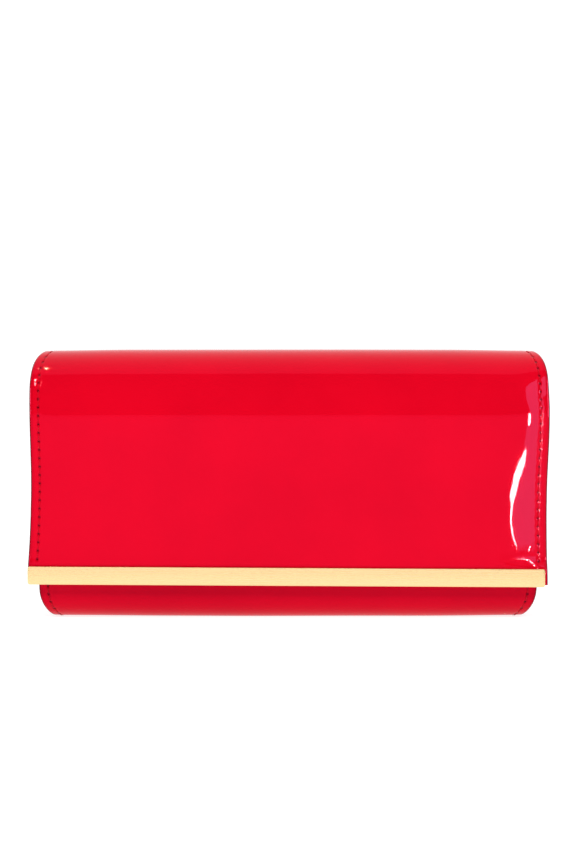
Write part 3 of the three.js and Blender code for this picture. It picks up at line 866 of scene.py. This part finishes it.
def pocket_trim():
    """The binding: a strip of leather folded over the pocket's mouth."""
    low, high = box_mm("pocket_binding")
    tall = high[2] - low[2]
    line = joined(
        straight((-0.75, 0), (-0.75, tall - 0.8)), arc((0, tall - 0.8), (0.75, 0.55), 180, 0),
        straight((0.75, tall - 0.8), (0.75, 0)),
    )
    path = Path2D(line, soft=0.15)
    s_rows = np.linspace(0, path.length, 46)
    half = high[0] - 0.2
    xs = np.r_[-half + EDGE_STEPS[:4] * 0.5, np.linspace(-half + 1, half - 1, 81), (half - EDGE_STEPS[:4] * 0.5)[::-1]]
    x, along = np.meshgrid(xs, s_rows)
    across, up = path.at(along)
    ny, nz = path.out(along)
    near = np.minimum(half - np.abs(x), np.minimum(along, path.length - along))
    drop = np.minimum(round_over(near, 0.25), 0.24)
    middle = pocket_face(x, pocket_tall + 0 * x)
    place = [
        np.stack([x, middle + across - way * ny * (0.25 - drop), low[2] + up - way * nz * (0.25 - drop)], axis=-1)
        for way in (-1, 1)
    ]
    obj = slab("pocket_binding_leather", place[0], place[1], [LINING_LEATHER])
    return obj


pocket = on_body(pocket_patch(), "satin_lining", "slip_pocket")
on_body(pocket_trim(), "flap_lining_leather", "pocket_binding")

# ---------- Gussets ----------

GUSSET_LOW, GUSSET_HIGH = box_mm("gusset_right")
GUSSET_THICK = 1.0
FLANGE_FROM, FLANGE_TO = 1, 7
FOLD_IN = (3, 14)  # how far the middle fold stands in from the flanges, at the foot and at the top
GUSSET_UNDER = 3.7


def gusset(name, side):
    """A side wall folded inwards along its middle, with flanges sewn along the front and the back."""
    under = GUSSET_UNDER + GUSSET_THICK / 2
    low, high = GUSSET_LOW[2], GUSSET_HIGH[2]
    zs = np.unique(np.r_[np.linspace(low, high, 70), high - EDGE_STEPS[:5] * 0.5])
    rows = []
    share = np.unique(np.r_[np.linspace(0, 1, 56), np.array([0.1, 0.3, 0.6]) / 60, 1 - np.array([0.1, 0.3, 0.6]) / 60])
    for z in zs:
        rise = np.clip((CORNER_UP - z) / (CORNER_UP - under), 0, 0.97)
        front = FRONT_Y + CORNER_ACROSS - (CORNER_ACROSS - under) * math.sqrt(1 - rise * rise)
        back = FRONT_Y + BACK_Y - front
        wide = [float(drawn_in(half, z)) for half in (FRONT_HALF, CREST_HALF)]
        spine = min(wide) - FLANGE_TO - (FOLD_IN[0] + (FOLD_IN[1] - FOLD_IN[0]) * float(smooth(z / RIM_Z)))
        corners = [(wide[0] - FLANGE_FROM, front), (wide[0] - FLANGE_TO, front), (spine, (front + back) / 2),
                   (wide[1] - FLANGE_TO, back), (wide[1] - FLANGE_FROM, back)]
        line = Path2D(joined(*[straight(a, b) for a, b in zip(corners, corners[1:])]), soft=0.7)
        s = share * line.length
        x, y = line.at(s)
        nx, ny = line.out(s)
        sag = 0.5 * math.sin(z / 9.5 + 1) * np.sin(share * math.pi) ** 2 * np.sin(share * 2 * math.pi)
        rows.append((x + nx * sag, y + ny * sag, nx, ny, s, line.length - s, z))
    places = []
    for way in (-1, 1):
        grid = []
        for x, y, nx, ny, s, left, z in rows:
            near = np.minimum(np.minimum(s, left), high - z)
            half = GUSSET_THICK / 2 - np.minimum(round_over(near, 0.5), 0.5)
            grid.append(np.stack([side * (x + way * nx * half), y + way * ny * half, np.full_like(x, z)], axis=-1))
        places.append(np.array(grid))
    if side > 0:
        places.reverse()
    return slab(name, places[0], places[1], [LINING_LEATHER])


for side, word in ((1, "right"), (-1, "left")):
    on_body(gusset(f"gusset_wall_{word}", side), "flap_lining_leather", f"gusset_{word}")

# ---------- Stitching ----------

THREAD_RADIUS = 0.19
STITCH_STEPS = np.linspace(0, 1, 9)


def thread(name, middle, normal, radius=THREAD_RADIUS, sides=8):
    """Many short stitches. middle and normal are (stitches, steps, 3) arrays on the sewn face."""
    reach = STITCH_STEPS * 2 - 1
    lift = radius * (1.1 - 2.9 * reach**4)
    thin = radius * (1 - 0.35 * reach**4)
    centre = middle + normal * lift[None, :, None]
    along = np.gradient(centre, axis=1)
    along /= np.linalg.norm(along, axis=2)[..., None]
    first = np.cross(along, normal)
    first /= np.linalg.norm(first, axis=2)[..., None]
    second = np.cross(first, along)
    angle = np.arange(sides) / sides * 2 * math.pi
    ring = first[:, :, None] * np.cos(angle)[:, None] + second[:, :, None] * np.sin(angle)[:, None]
    points = (centre[:, :, None] + ring * thin[None, :, None, None]).reshape(-1, 3)
    count, steps = middle.shape[:2]
    index = np.arange(count * steps * sides).reshape(count, steps, sides)
    faces = []
    for one in index:
        loop = np.concatenate([one, one[:, :1]], axis=1)
        faces += [f for f in grid_quads(loop)]
        faces += [one[0], one[-1][::-1]]
    return new_object(name, points, faces, [THREAD])[0]


def strip_place(s, x, depth):
    """A place on a face of the strip and that face's outward normal, found from its neighbours."""
    here = strip_points(s, x, depth)
    down = strip_points(s + 0.05, x, depth) - strip_points(s - 0.05, x, depth)
    across = strip_points(s, x + 0.05, depth) - strip_points(s, x - 0.05, depth)
    n = np.cross(down, across)
    return here, n / np.linalg.norm(n, axis=-1)[..., None]


def side_stitches(start, end, depth=0.12, inward=False):
    """Stitches along both sides of the strip, from hole to hole."""
    first, last = math.ceil(start / PITCH), math.floor(end / PITCH)
    begin = np.arange(first, last) * PITCH
    s = begin[:, None] + PITCH * (0.06 + 0.88 * STITCH_STEPS)[None]
    places, normals = [], []
    for side in (1, -1):
        x = side * (half_width(s) - STITCH_IN)
        place, normal = strip_place(s, x, depth)
        places.append(place)
        normals.append(-normal if inward else normal)
    return np.concatenate(places), np.concatenate(normals)


def stitched(name, *runs):
    places, normals = zip(*runs)
    return thread(name, np.concatenate(places), np.concatenate(normals))


def row_stitches(s_at, half, depth, inward=False, pitch=PITCH):
    """A row of stitches along X at one arc length."""
    count = int(2 * half // pitch)
    begin = (np.arange(count) - count / 2) * pitch
    x = begin[:, None] + pitch * (0.06 + 0.88 * STITCH_STEPS)[None]
    place, normal = strip_place(np.full_like(x, s_at), x, depth)
    return place, -normal if inward else normal


def plane_stitches(points, normal):
    """Stitches along a line of points on a nearly flat face."""
    length = arc_length(points)
    count = max(1, round(length[-1] / PITCH))
    begin = np.arange(count) * length[-1] / count
    s = begin[:, None] + length[-1] / count * (0.06 + 0.88 * STITCH_STEPS)[None]
    place = np.stack([np.interp(s, length, points[:, k]) for k in range(3)], axis=-1)
    return place, np.broadcast_to(np.array(normal, float), place.shape)


RIM_SEAM = 3.2
FACING_SEAM = FACING_S - 2.0
front_thread = stitched(
    "front_stitching", side_stitches(RIM_SEAM + 1.5, S_BASE), row_stitches(RIM_SEAM, FRONT_HALF - STITCH_IN, 0.0),
    row_stitches(RIM_SEAM, FRONT_HALF - STITCH_IN - 3, FACING_TO, inward=True),
    row_stitches(FACING_SEAM, FRONT_HALF - 10, FACING_TO, inward=True),
)
on_body(front_thread, "patent_leather")
back_thread = stitched(
    "back_stitching", side_stitches(S_BASE, S_CREST), side_stitches(S_FOLD + 2, S_CREST, LINING_TO, inward=True),
    row_stitches(S_FOLD - FACING_S + 2, CREST_HALF - 10, LINING_TO, inward=True),
)
over_back_fold(back_thread, "patent_leather")
flap_thread = stitched(
    "flap_stitching", side_stitches(S_CREST, S_BAR), side_stitches(S_CREST, S_BAR, LINING_TO, inward=True)
)
over_front_fold(flap_thread, "patent_leather")


def pocket_line():
    inside = 2.2
    x, up = pocket_half - inside, inside
    corners = [(-x, pocket_tall - 9), (-x, up), (x, up), (x, pocket_tall - 9)]
    flat = joined(*[straight(a, b) for a, b in zip(corners, corners[1:])])
    face = pocket_face(flat[:, 0], flat[:, 1]) - 0.33
    return np.column_stack([flat[:, 0], face, flat[:, 1] + POCKET_LOW[2]])


def binding_line():
    x = np.linspace(-pocket_half + 2, pocket_half - 2, 300)
    low = box_mm("pocket_binding")[0][2]
    return np.column_stack([x, pocket_face(x, pocket_tall + 0 * x) - 1.0, np.full_like(x, low + 1.6)])


pocket_thread = stitched(
    "pocket_stitching", plane_stitches(pocket_line(), (0, -1, 0)), plane_stitches(binding_line(), (0, -1, 0))
)
on_body(pocket_thread, "satin_lining")

# ---------- Metal fittings ----------

BAR_SHORT = 1.7  # how far the leather reaches past the bar's right end


def metal_bar():
    """The bar: a channel folded over the flap's edge, with a rolled lower edge."""
    front, foot = BAR_LOW[1], BAR_LOW[2]
    back, top = BAR_HIGH[1], BAR_HIGH[2]
    inner_front, inner_back, floor = front + 0.7, back - 0.6, foot + 0.7
    outer = joined(
        arc((front + 0.32, top - 0.32), (0.32, 0.32), 75, 180),
        straight((front, top - 0.32), (front, foot + 1.25)),
        arc((front + 0.95, foot + 1.25), (0.95, 1.25), 180, 270),
        straight((front + 0.95, foot), (back - 0.6, foot)),
        arc((back - 0.6, foot + 0.6), (0.6, 0.6), 270, 360),
        straight((back, foot + 0.6), (back, top - 0.2)),
        arc((back - 0.2, top - 0.2), (0.2, 0.2), 0, 90),
    )
    inner = joined(
        arc((inner_back + 0.1, top - 0.1), (0.1, 0.1), 90, 180),
        straight((inner_back, top - 0.1), (inner_back, floor + 0.25)),
        arc((inner_back - 0.25, floor + 0.25), (0.25, 0.25), 0, -90),
        straight((inner_back - 0.25, floor), (inner_front + 0.25, floor)),
        arc((inner_front + 0.25, floor + 0.25), (0.25, 0.25), 270, 180),
        straight((inner_front, floor + 0.25), (inner_front, top - 0.1)),
        arc((inner_front - 0.1, top - 0.1), (0.1, 0.1), 0, 90),
    )
    loop = joined(outer, inner)
    loop = loop[np.r_[True, thinned(loop)]]
    half, corner = BAR_HIGH[0], 1.1
    left, right = -half, half - BAR_SHORT
    tops = np.array([0, 0.08, 0.2, 0.4, 0.7, 1.1])
    x = np.r_[left + tops, np.linspace(left + 3, right - 3, 60), (right - tops)[::-1]]
    from_end = np.minimum(x - left, right - x)
    short = corner - np.sqrt(np.maximum(corner**2 - np.clip(corner - from_end, 0, corner) ** 2, 0))
    share = (loop[:, 1] - foot) / (top - foot)
    z = foot + short[:, None] + share[None] * (top - foot - 2 * short[:, None])
    z = z - FLAP_SKEW * x[:, None]
    soft = 0.1 * np.clip(1 - from_end / 0.2, 0, 1)[:, None] ** 2
    middle = (front + back) / 2
    y = loop[None, :, 0] - np.sign(loop[None, :, 0] - middle) * soft
    points = np.stack([np.repeat(x[:, None], loop.shape[0], axis=1), np.broadcast_to(y, z.shape), z], axis=-1)
    index = np.arange(points.shape[0] * points.shape[1]).reshape(points.shape[:2])
    ring = np.concatenate([index, index[:, :1]], axis=1)
    faces = [f for f in grid_quads(ring)] + [index[0], index[-1][::-1]]
    obj = new_object("metal_bar", points.reshape(-1, 3), faces, [BAR_GOLD])[0]
    return obj


def thinned(points, most=7, least=0.25):
    """Which points of a loop to keep: those where it turns, and a few along its straights."""
    keep, turned, gone = [], 0.0, 0.0
    step = np.diff(points, axis=0)
    heading = np.unwrap(np.arctan2(step[:, 1], step[:, 0]))
    last = heading[0]
    for k in range(len(step)):
        gone += np.linalg.norm(step[k])
        ahead = heading[min(k + 1, len(step) - 1)]
        turned += abs(ahead - last)
        last = ahead
        use = turned > math.radians(11) or gone > most
        keep.append(use)
        if use:
            turned = gone = 0.0
    return np.array(keep)


def prism(name, outline, y0, y1, materials, x=0.0, z=0.0):
    """A closed prism along Y over a flat outline of (x, z) points."""
    outline = np.array(outline, float)
    n = len(outline)
    points = np.concatenate([np.column_stack([outline[:, 0] + x, np.full(n, y), outline[:, 1] + z]) for y in (y0, y1)])
    ring = np.arange(n)
    sides = np.stack([ring, np.roll(ring, -1), np.roll(ring, -1) + n, ring + n], axis=1)
    faces = [ring[::-1], ring + n] + list(sides)
    return new_object(name, points, faces, materials, smooth_faces=False)[0]


def screw(name, x, z):
    """A slotted screw head on the bar's back leg."""
    y = BAR_HIGH[1]
    radius, slot = 1.7, 0.26
    dome = [(0, 0.02), (radius, 0.02), (radius, 0.2), (radius - 0.1, 0.3), (0, 0.3)]
    disc = lathe(name + "_disc", (x, y, z), dome, [RING_GOLD], facing=1, segments=48)
    halves = [disc]
    reach = math.asin(slot / radius)
    for k, start in enumerate((0, math.pi)):
        angle = np.linspace(start + reach, start + math.pi - reach, 25)
        outline = np.column_stack([np.cos(angle), np.sin(angle)]) * (radius - 0.12)
        half = prism(f"{name}_half_{k}", outline, y + 0.25, y + 0.62, [RING_GOLD], x, z)
        halves.append(bevelled(half, 0.08))
    return merge(name, halves)


bar = finished(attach(metal_bar(), "flap"), ["edge_bar"])
for number in (1, 2, 3):
    low, high = box_mm(f"bar_screw_{number}")
    x = (low[0] + high[0]) / 2
    head = screw(f"screw_head_{number}", x, (low[2] + high[2]) / 2 - FLAP_SKEW * x)
    finished(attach(head, "flap"), [f"bar_screw_{number}"])

# The magnetic snap.
CASE_LOW, CASE_HIGH = box_mm("snap_socket")
MAGNET_LOW, MAGNET_HIGH = box_mm("snap_magnet")
STUD_LOW, STUD_HIGH = box_mm("snap_stud")
SNAP_AT = (CASE_LOW[2] + CASE_HIGH[2]) / 2
case_radius = CASE_HIGH[0]
magnet_radius = MAGNET_HIGH[0]
case_face, case_back = CASE_LOW[1], FRONT_Y - 0.05
deep = case_back - case_face
case = lathe("snap_case", (0, case_back, SNAP_AT), [
    (0, 0), (case_radius, 0), (case_radius, deep - 0.35), (case_radius - 0.1, deep - 0.1), (case_radius - 0.3, deep),
    (magnet_radius + 0.4, deep), (magnet_radius + 0.3, deep - 0.12), (magnet_radius + 0.3, 0.4), (0, 0.4),
], [SNAP_GOLD])
on_body(case, "snap_metal", "snap_socket")
ring = lathe("magnet_ring", (0, MAGNET_HIGH[1], SNAP_AT), [
    (2.8, 0), (magnet_radius, 0), (magnet_radius, MAGNET_HIGH[1] - case_face - 0.15),
    (magnet_radius - 0.15, MAGNET_HIGH[1] - case_face - 0.05), (2.95, MAGNET_HIGH[1] - case_face - 0.05),
    (2.8, MAGNET_HIGH[1] - case_face - 0.2),
], [MAGNET_METAL])
on_body(ring, "magnet", "snap_magnet")
stud_back = strip_points(np.array(S_END - (SNAP_AT - FLAP_END_Z)), np.array(0.0), LINING_TO)[1] + 0.05
stud = lathe("snap_post", (0, stud_back, SNAP_AT), [
    (0, 0), (case_radius, 0), (case_radius, 0.35), (case_radius - 0.15, 0.55), (case_radius - 0.5, 0.75),
    (2.5, 0.85), (2.3, 1.0), (2.3, STUD_HIGH[1] - stud_back - 0.35), (2.15, STUD_HIGH[1] - stud_back - 0.1),
    (1.9, STUD_HIGH[1] - stud_back), (0, STUD_HIGH[1] - stud_back),
], [SNAP_GOLD], facing=1)
finished(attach(stud, "flap"), ["snap_stud"])

# D-rings in their tabs.
RING_Y = (FRONT_Y + BACK_Y) / 2
RING_WIRE = 0.9
RING_HALF = 6.5
RING_DROP = 10
TAB_TOP = 15  # over the ring's straight side
TAB_HALF = 3.4
TAB_MIDDLE = 1.7  # radius of the loop, in the middle of its strap
TAB_TAIL = 0.42
TAB_THICK = 0.76


def d_ring(name, at, side):
    corner = 1.4
    line = joined(
        straight((0, 0), (-RING_HALF + corner, 0)), arc((-RING_HALF + corner, -corner), (corner, corner), 90, 180),
        straight((-RING_HALF, -corner), (-RING_HALF, RING_HALF - RING_DROP)),
        arc((0, RING_HALF - RING_DROP), (RING_HALF, RING_HALF), 180, 360),
        straight((RING_HALF, RING_HALF - RING_DROP), (RING_HALF, -corner)),
        arc((RING_HALF - corner, -corner), (corner, corner), 0, 90), straight((RING_HALF - corner, 0), (0, 0)),
    )
    length = arc_length(line)
    s = np.arange(132) / 132 * length[-1]
    y, z = (np.interp(s, length, line[:, k]) for k in (0, 1))
    centre = np.column_stack([np.zeros_like(y), y, z]) + at
    obj = tube(name, centre, RING_WIRE, 16, [RING_GOLD], closed=True, up=(1, 0, 0))
    return obj


def ring_tab(name, at):
    """A strap folded round the ring's straight side, its tails stitched together."""
    reach = math.degrees(math.asin(TAB_TAIL / TAB_MIDDLE))
    line = joined(
        straight((-TAB_TAIL, TAB_TOP), (-TAB_TAIL, 2.4)), arc((0, 0), (TAB_MIDDLE, TAB_MIDDLE), 90 + reach, 450 - reach),
        straight((TAB_TAIL, 2.4), (TAB_TAIL, TAB_TOP)),
    )
    path = Path2D(line, soft=0.25)
    along = np.unique(np.r_[np.linspace(0, path.length, 110), EDGE_STEPS[:4], path.length - EDGE_STEPS[:4]])
    across = np.r_[-TAB_HALF + EDGE_STEPS, np.linspace(-1.8, 1.8, 9), (TAB_HALF - EDGE_STEPS)[::-1]]
    ys, s = np.meshgrid(across, along)
    x, z = path.at(s)
    nx, nz = path.out(s)
    near = np.minimum(TAB_HALF - np.abs(ys), np.minimum(s, path.length - s))
    drop = np.minimum(round_over(near, TAB_THICK / 2), TAB_THICK / 2 - 1e-3)
    edge = np.minimum(TAB_HALF - np.abs(ys[:-1, :-1]), TAB_HALF - np.abs(ys[1:, 1:])) < 0.25
    place = [
        np.stack([x + way * nx * (TAB_THICK / 2 - drop), ys, z + way * nz * (TAB_THICK / 2 - drop)], axis=-1) + at
        for way in (1, -1)
    ]
    obj = slab(name, place[0], place[1], [PATENT, EDGE_PAINT], edge_faces=edge)
    return obj


def tab_stitches(at):
    runs = []
    for way in (1, -1):
        x = way * (TAB_TAIL + TAB_THICK / 2 - 0.05)
        for y in (-TAB_HALF + 1.1, TAB_HALF - 1.1):
            line = np.column_stack([np.full(40, x), np.full(40, y), np.linspace(3.4, TAB_TOP - 1, 40)]) + at
            length = arc_length(line)[-1]
            begin = np.arange(4) * length / 4
            s = begin[:, None] + length / 4 * (0.08 + 0.84 * STITCH_STEPS)[None]
            place = np.stack([np.full_like(s, at[0] + x), np.full_like(s, at[1] + y), at[2] + 3.4 + s], axis=-1)
            runs.append((place, np.broadcast_to(np.array([way, 0.0, 0.0]), place.shape)))
    return runs


for side, word in ((1, "right"), (-1, "left")):
    at = joint_place(f"ring_{word}_swing")
    ring = d_ring(f"chain_ring_{word}", at, side)
    finished(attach(ring, f"ring_{word}"), [f"d_ring_{word}"])
    on_body(ring_tab(f"ring_tab_{word}", at), "patent_leather", f"d_ring_tab_{word}")
    on_body(stitched(f"tab_stitching_{word}", *tab_stitches(at)), "patent_leather")

for node, material in (("socket_washer", SNAP_GOLD), ("stud_washer", SNAP_GOLD)):
    bpy.data.objects[node].data.materials.clear()
    bpy.data.objects[node].data.materials.append(material)

# ---------- Stage, lights and camera ----------

CAMERA_FAR = 2200
CAMERA_UP = 5  # degrees
PIXELS_PER_MM = 1.987
FRAME_TALL = 864
AIM_ABOVE = 92.7  # height, in the picture plane, of the point in the middle of the picture


def camera():
    data = bpy.data.cameras.new("camera")
    data.sensor_width = 36
    data.lens = 36 * CAMERA_FAR / (FRAME_TALL / PIXELS_PER_MM)
    obj = bpy.data.objects.new("camera", data)
    bpy.context.scene.collection.objects.link(obj)
    tilt = math.radians(CAMERA_UP)
    aim = Vector((0, BAR_LOW[1] * math.cos(tilt) ** 2, 0))
    back = Vector((0, -math.cos(tilt), math.sin(tilt)))
    above = Vector((0, math.sin(tilt), math.cos(tilt)))
    front = Vector((0, BAR_LOW[1], 0))
    aim = front + above * (AIM_ABOVE - front.dot(above)) + back * 0
    obj.location = (aim + back * CAMERA_FAR) * MM
    obj.rotation_mode = "QUATERNION"
    obj.rotation_quaternion = (-back).to_track_quat("-Z", "Y")
    data.clip_start, data.clip_end = 0.05, 60
    bpy.context.scene.camera = obj


def floor():
    """A white table that glows a little, as a light table does."""
    size = 30
    mesh = bpy.data.meshes.new("floor")
    mesh.from_pydata([(-size, -size, 0), (size, -size, 0), (size, size, 0), (-size, size, 0)], [], [(0, 1, 2, 3)])
    obj = bpy.data.objects.new("floor", mesh)
    bpy.context.scene.collection.objects.link(obj)
    white = (0.3, 0.3, 0.3)
    mesh.materials.append(new_material("floor_white", Base_Color=white, Roughness=1.0, Specular_IOR_Level=0.0,
                                       Emission_Color=(1.0, 1.0, 1.0), Emission_Strength=0.82))
    obj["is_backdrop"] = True


def dome():
    """A white tent that is open in front: dark from the front horizon up, bright overhead and behind."""
    dark, bright = 0.1, 1.17
    opens, closes = 63.6, 64.4  # degrees over the front horizon
    world = bpy.data.worlds.new("studio")
    bpy.context.scene.world = world
    world.use_nodes = True
    tree = world.node_tree
    background = tree.nodes["Background"]
    where = tree.nodes.new("ShaderNodeTexCoord")
    split = tree.nodes.new("ShaderNodeSeparateXYZ")
    tree.links.new(where.outputs["Generated"], split.inputs[0])

    def maths(operation, *values):
        node = tree.nodes.new("ShaderNodeMath")
        node.operation = operation
        for socket, value in zip(node.inputs, values):
            if isinstance(value, bpy.types.NodeSocket):
                tree.links.new(value, socket)
            else:
                socket.default_value = value
        return node.outputs[0]

    front = maths("MULTIPLY", split.outputs["Y"], -1)
    over = maths("ARCTAN2", maths("ABSOLUTE", split.outputs["Z"]), front)
    rise = tree.nodes.new("ShaderNodeMapRange")
    rise.interpolation_type = "SMOOTHSTEP"
    tree.links.new(over, rise.inputs["Value"])
    ends = (math.radians(opens), math.radians(closes), dark, bright)
    for key, value in zip(("From Min", "From Max", "To Min", "To Max"), ends):
        rise.inputs[key].default_value = value
    seen = tree.nodes.new("ShaderNodeLightPath").outputs["Is Camera Ray"]
    tree.links.new(maths("MAXIMUM", seen, rise.outputs["Result"]), background.inputs["Strength"])
    background.inputs["Color"].default_value = (1, 1, 1, 1)


def panel(name, place, toward, size, radiance):
    """A rectangular light, not seen by the camera."""
    data = bpy.data.lights.new(name, "AREA")
    data.shape = "RECTANGLE"
    data.size, data.size_y = size
    data.energy = radiance * math.pi * size[0] * size[1]
    obj = bpy.data.objects.new(name, data)
    bpy.context.scene.collection.objects.link(obj)
    obj.location = place
    obj.rotation_mode = "QUATERNION"
    obj.rotation_quaternion = (Vector(toward) - Vector(place)).to_track_quat("-Z", "Y")
    obj.visible_camera = False
    return obj


# Bright cards, shaped by where the leather shows them: rows of (height, left, right) on the flap and crown.
GLINTS = [
    [(104.5, 120.3, 121.3), (101, 120.0, 121.3), (98.3, 120.0, 120.9)],
    [(86.5, 118.5, 119.0), (82, 116.6, 118.9), (78, 114.6, 118.3), (74, 113.2, 116.4), (69.7, 112.2, 115.2),
     (65.5, 111.4, 114.4), (62.8, 110.9, 113.6), (61, 111.6, 113.0), (56, 111.4, 112.4), (50, 111.4, 112.2),
     (44, 112.2, 113.0), (40, 113.7, 114.4), (37.7, 114.9, 115.3)],
    [(121.6, -128.1, -127.6), (118.6, -128.1, -127.6)],
    [(127, -124.6, -122.6), (126.6, -124.8, -122.6)],
]
LOW_GLINT = [(31.2, 121.2, 121.6), (30, 122.2, 122.8), (27.8, 124.4, 125)]
LOW_SHADE = [(34, 106, 119.5), (30, 106, 119.5)]
SHEEN_ROWS = [
    (120, 124.8, 127.6), (115, 124.2, 128), (111, 123.6, 128), (107, 123, 128), (102, 121.8, 127.6), (98.5, 121, 127),
    (96, 120.6, 125), (87, 119, 124.4), (80, 118, 123.6), (77, 117, 121.4), (66, 114.5, 121.2), (62, 113.4, 123),
    (55, 112.4, 124), (44, 113.2, 124.6), (37, 115.6, 124.8), (31, 120.5, 125.4), (28, 123.6, 126),
]


def glow(name, radiance, tone):
    return new_material(name, Base_Color=(0.0, 0.0, 0.0), Emission_Color=tone, Emission_Strength=radiance)


def only_in_gloss(obj, receivers):
    """Keeps a card or light out of the picture and out of soft shading: only some pieces' gloss shows it."""
    for kind in ("camera", "diffuse", "transmission", "shadow"):
        setattr(obj, f"visible_{kind}", False)
    obj.light_linking.receiver_collection = receivers


def card(name, rows, distance, radiance, tone, receivers):
    """A glowing card that the camera sees reflected in the flap's face inside the given rows."""
    eye = np.array(bpy.context.scene.camera.location) / MM
    heights = STRIP.p[:, 1]
    on_flap = STRIP.s > S_CREST
    points = []
    for z, left, right in rows:
        s = np.interp(-z, -heights[on_flap], STRIP.s[on_flap])
        for x in (left, right):
            place, normal = strip_place(np.array(s), np.array(x), 0.0)
            ray = (place - eye) / np.linalg.norm(place - eye)
            points.append(place + (ray - 2 * ray.dot(normal) * normal) * distance)
    quads = [(2 * k, 2 * k + 1, 2 * k + 3, 2 * k + 2) for k in range(len(rows) - 1)]
    obj = new_object(name, np.array(points), [np.array(q) for q in quads], [glow(name, radiance, tone)],
                     smooth_faces=False)[0]
    only_in_gloss(obj, receivers)
    obj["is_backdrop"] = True


def group(name, *members):
    collection = bpy.data.collections.new(name)
    for member in members:
        collection.objects.link(bpy.data.objects[member])
    return collection


camera()
floor()
dome()
glossy = group("glossy", "flap_leather", "back_and_crown_leather", "front_and_base_leather")
metal = group("metal", "metal_bar")
for number, rows in enumerate(GLINTS):
    card(f"glint_card_{number}", rows, 250, 600, (0.6, 1.0, 0.3), glossy)
card("low_glint_card", LOW_GLINT, 12, 600, (0.6, 1.0, 0.3), glossy)
card("low_shade_card", LOW_SHADE, 12, 0.95, (1.0, 1.0, 1.0), glossy)
card("sheen_card", SHEEN_ROWS, 300, 10, (0.08, 1.0, 0.76), glossy)
for side in (1, -1):
    rim = panel(f"rim_light_{side}", (side * 1.15, -0.45, 0.25), (0, 0, 0.07), (0.5, 0.8), 14)
    only_in_gloss(rim, glossy)
bar_light = panel("bar_light", (0, -1.1, 0.42), (0, 0, 0.02), (2.6, 0.66), 1.5)
only_in_gloss(bar_light, metal)
low_fill = panel("low_fill", (0, -2.3, 1.15), (0, 0, 0.06), (2.4, 1.2), 5.65)
high_fill = panel("high_fill", (0, -1.7, 2.0), (0, 0, 0.06), (2.4, 1.2), 7.5)
upper = group("upper", "flap_leather", "back_and_crown_leather")
others = group("others", "flap_leather", "back_and_crown_leather")
for member in others.collection_objects:
    member.light_linking.link_state = "EXCLUDE"
for light, receivers in ((low_fill, upper), (high_fill, others)):
    light.visible_glossy = False
    light.light_linking.receiver_collection = receivers
bpy.context.scene.view_settings.view_transform = "Standard"

low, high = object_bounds()
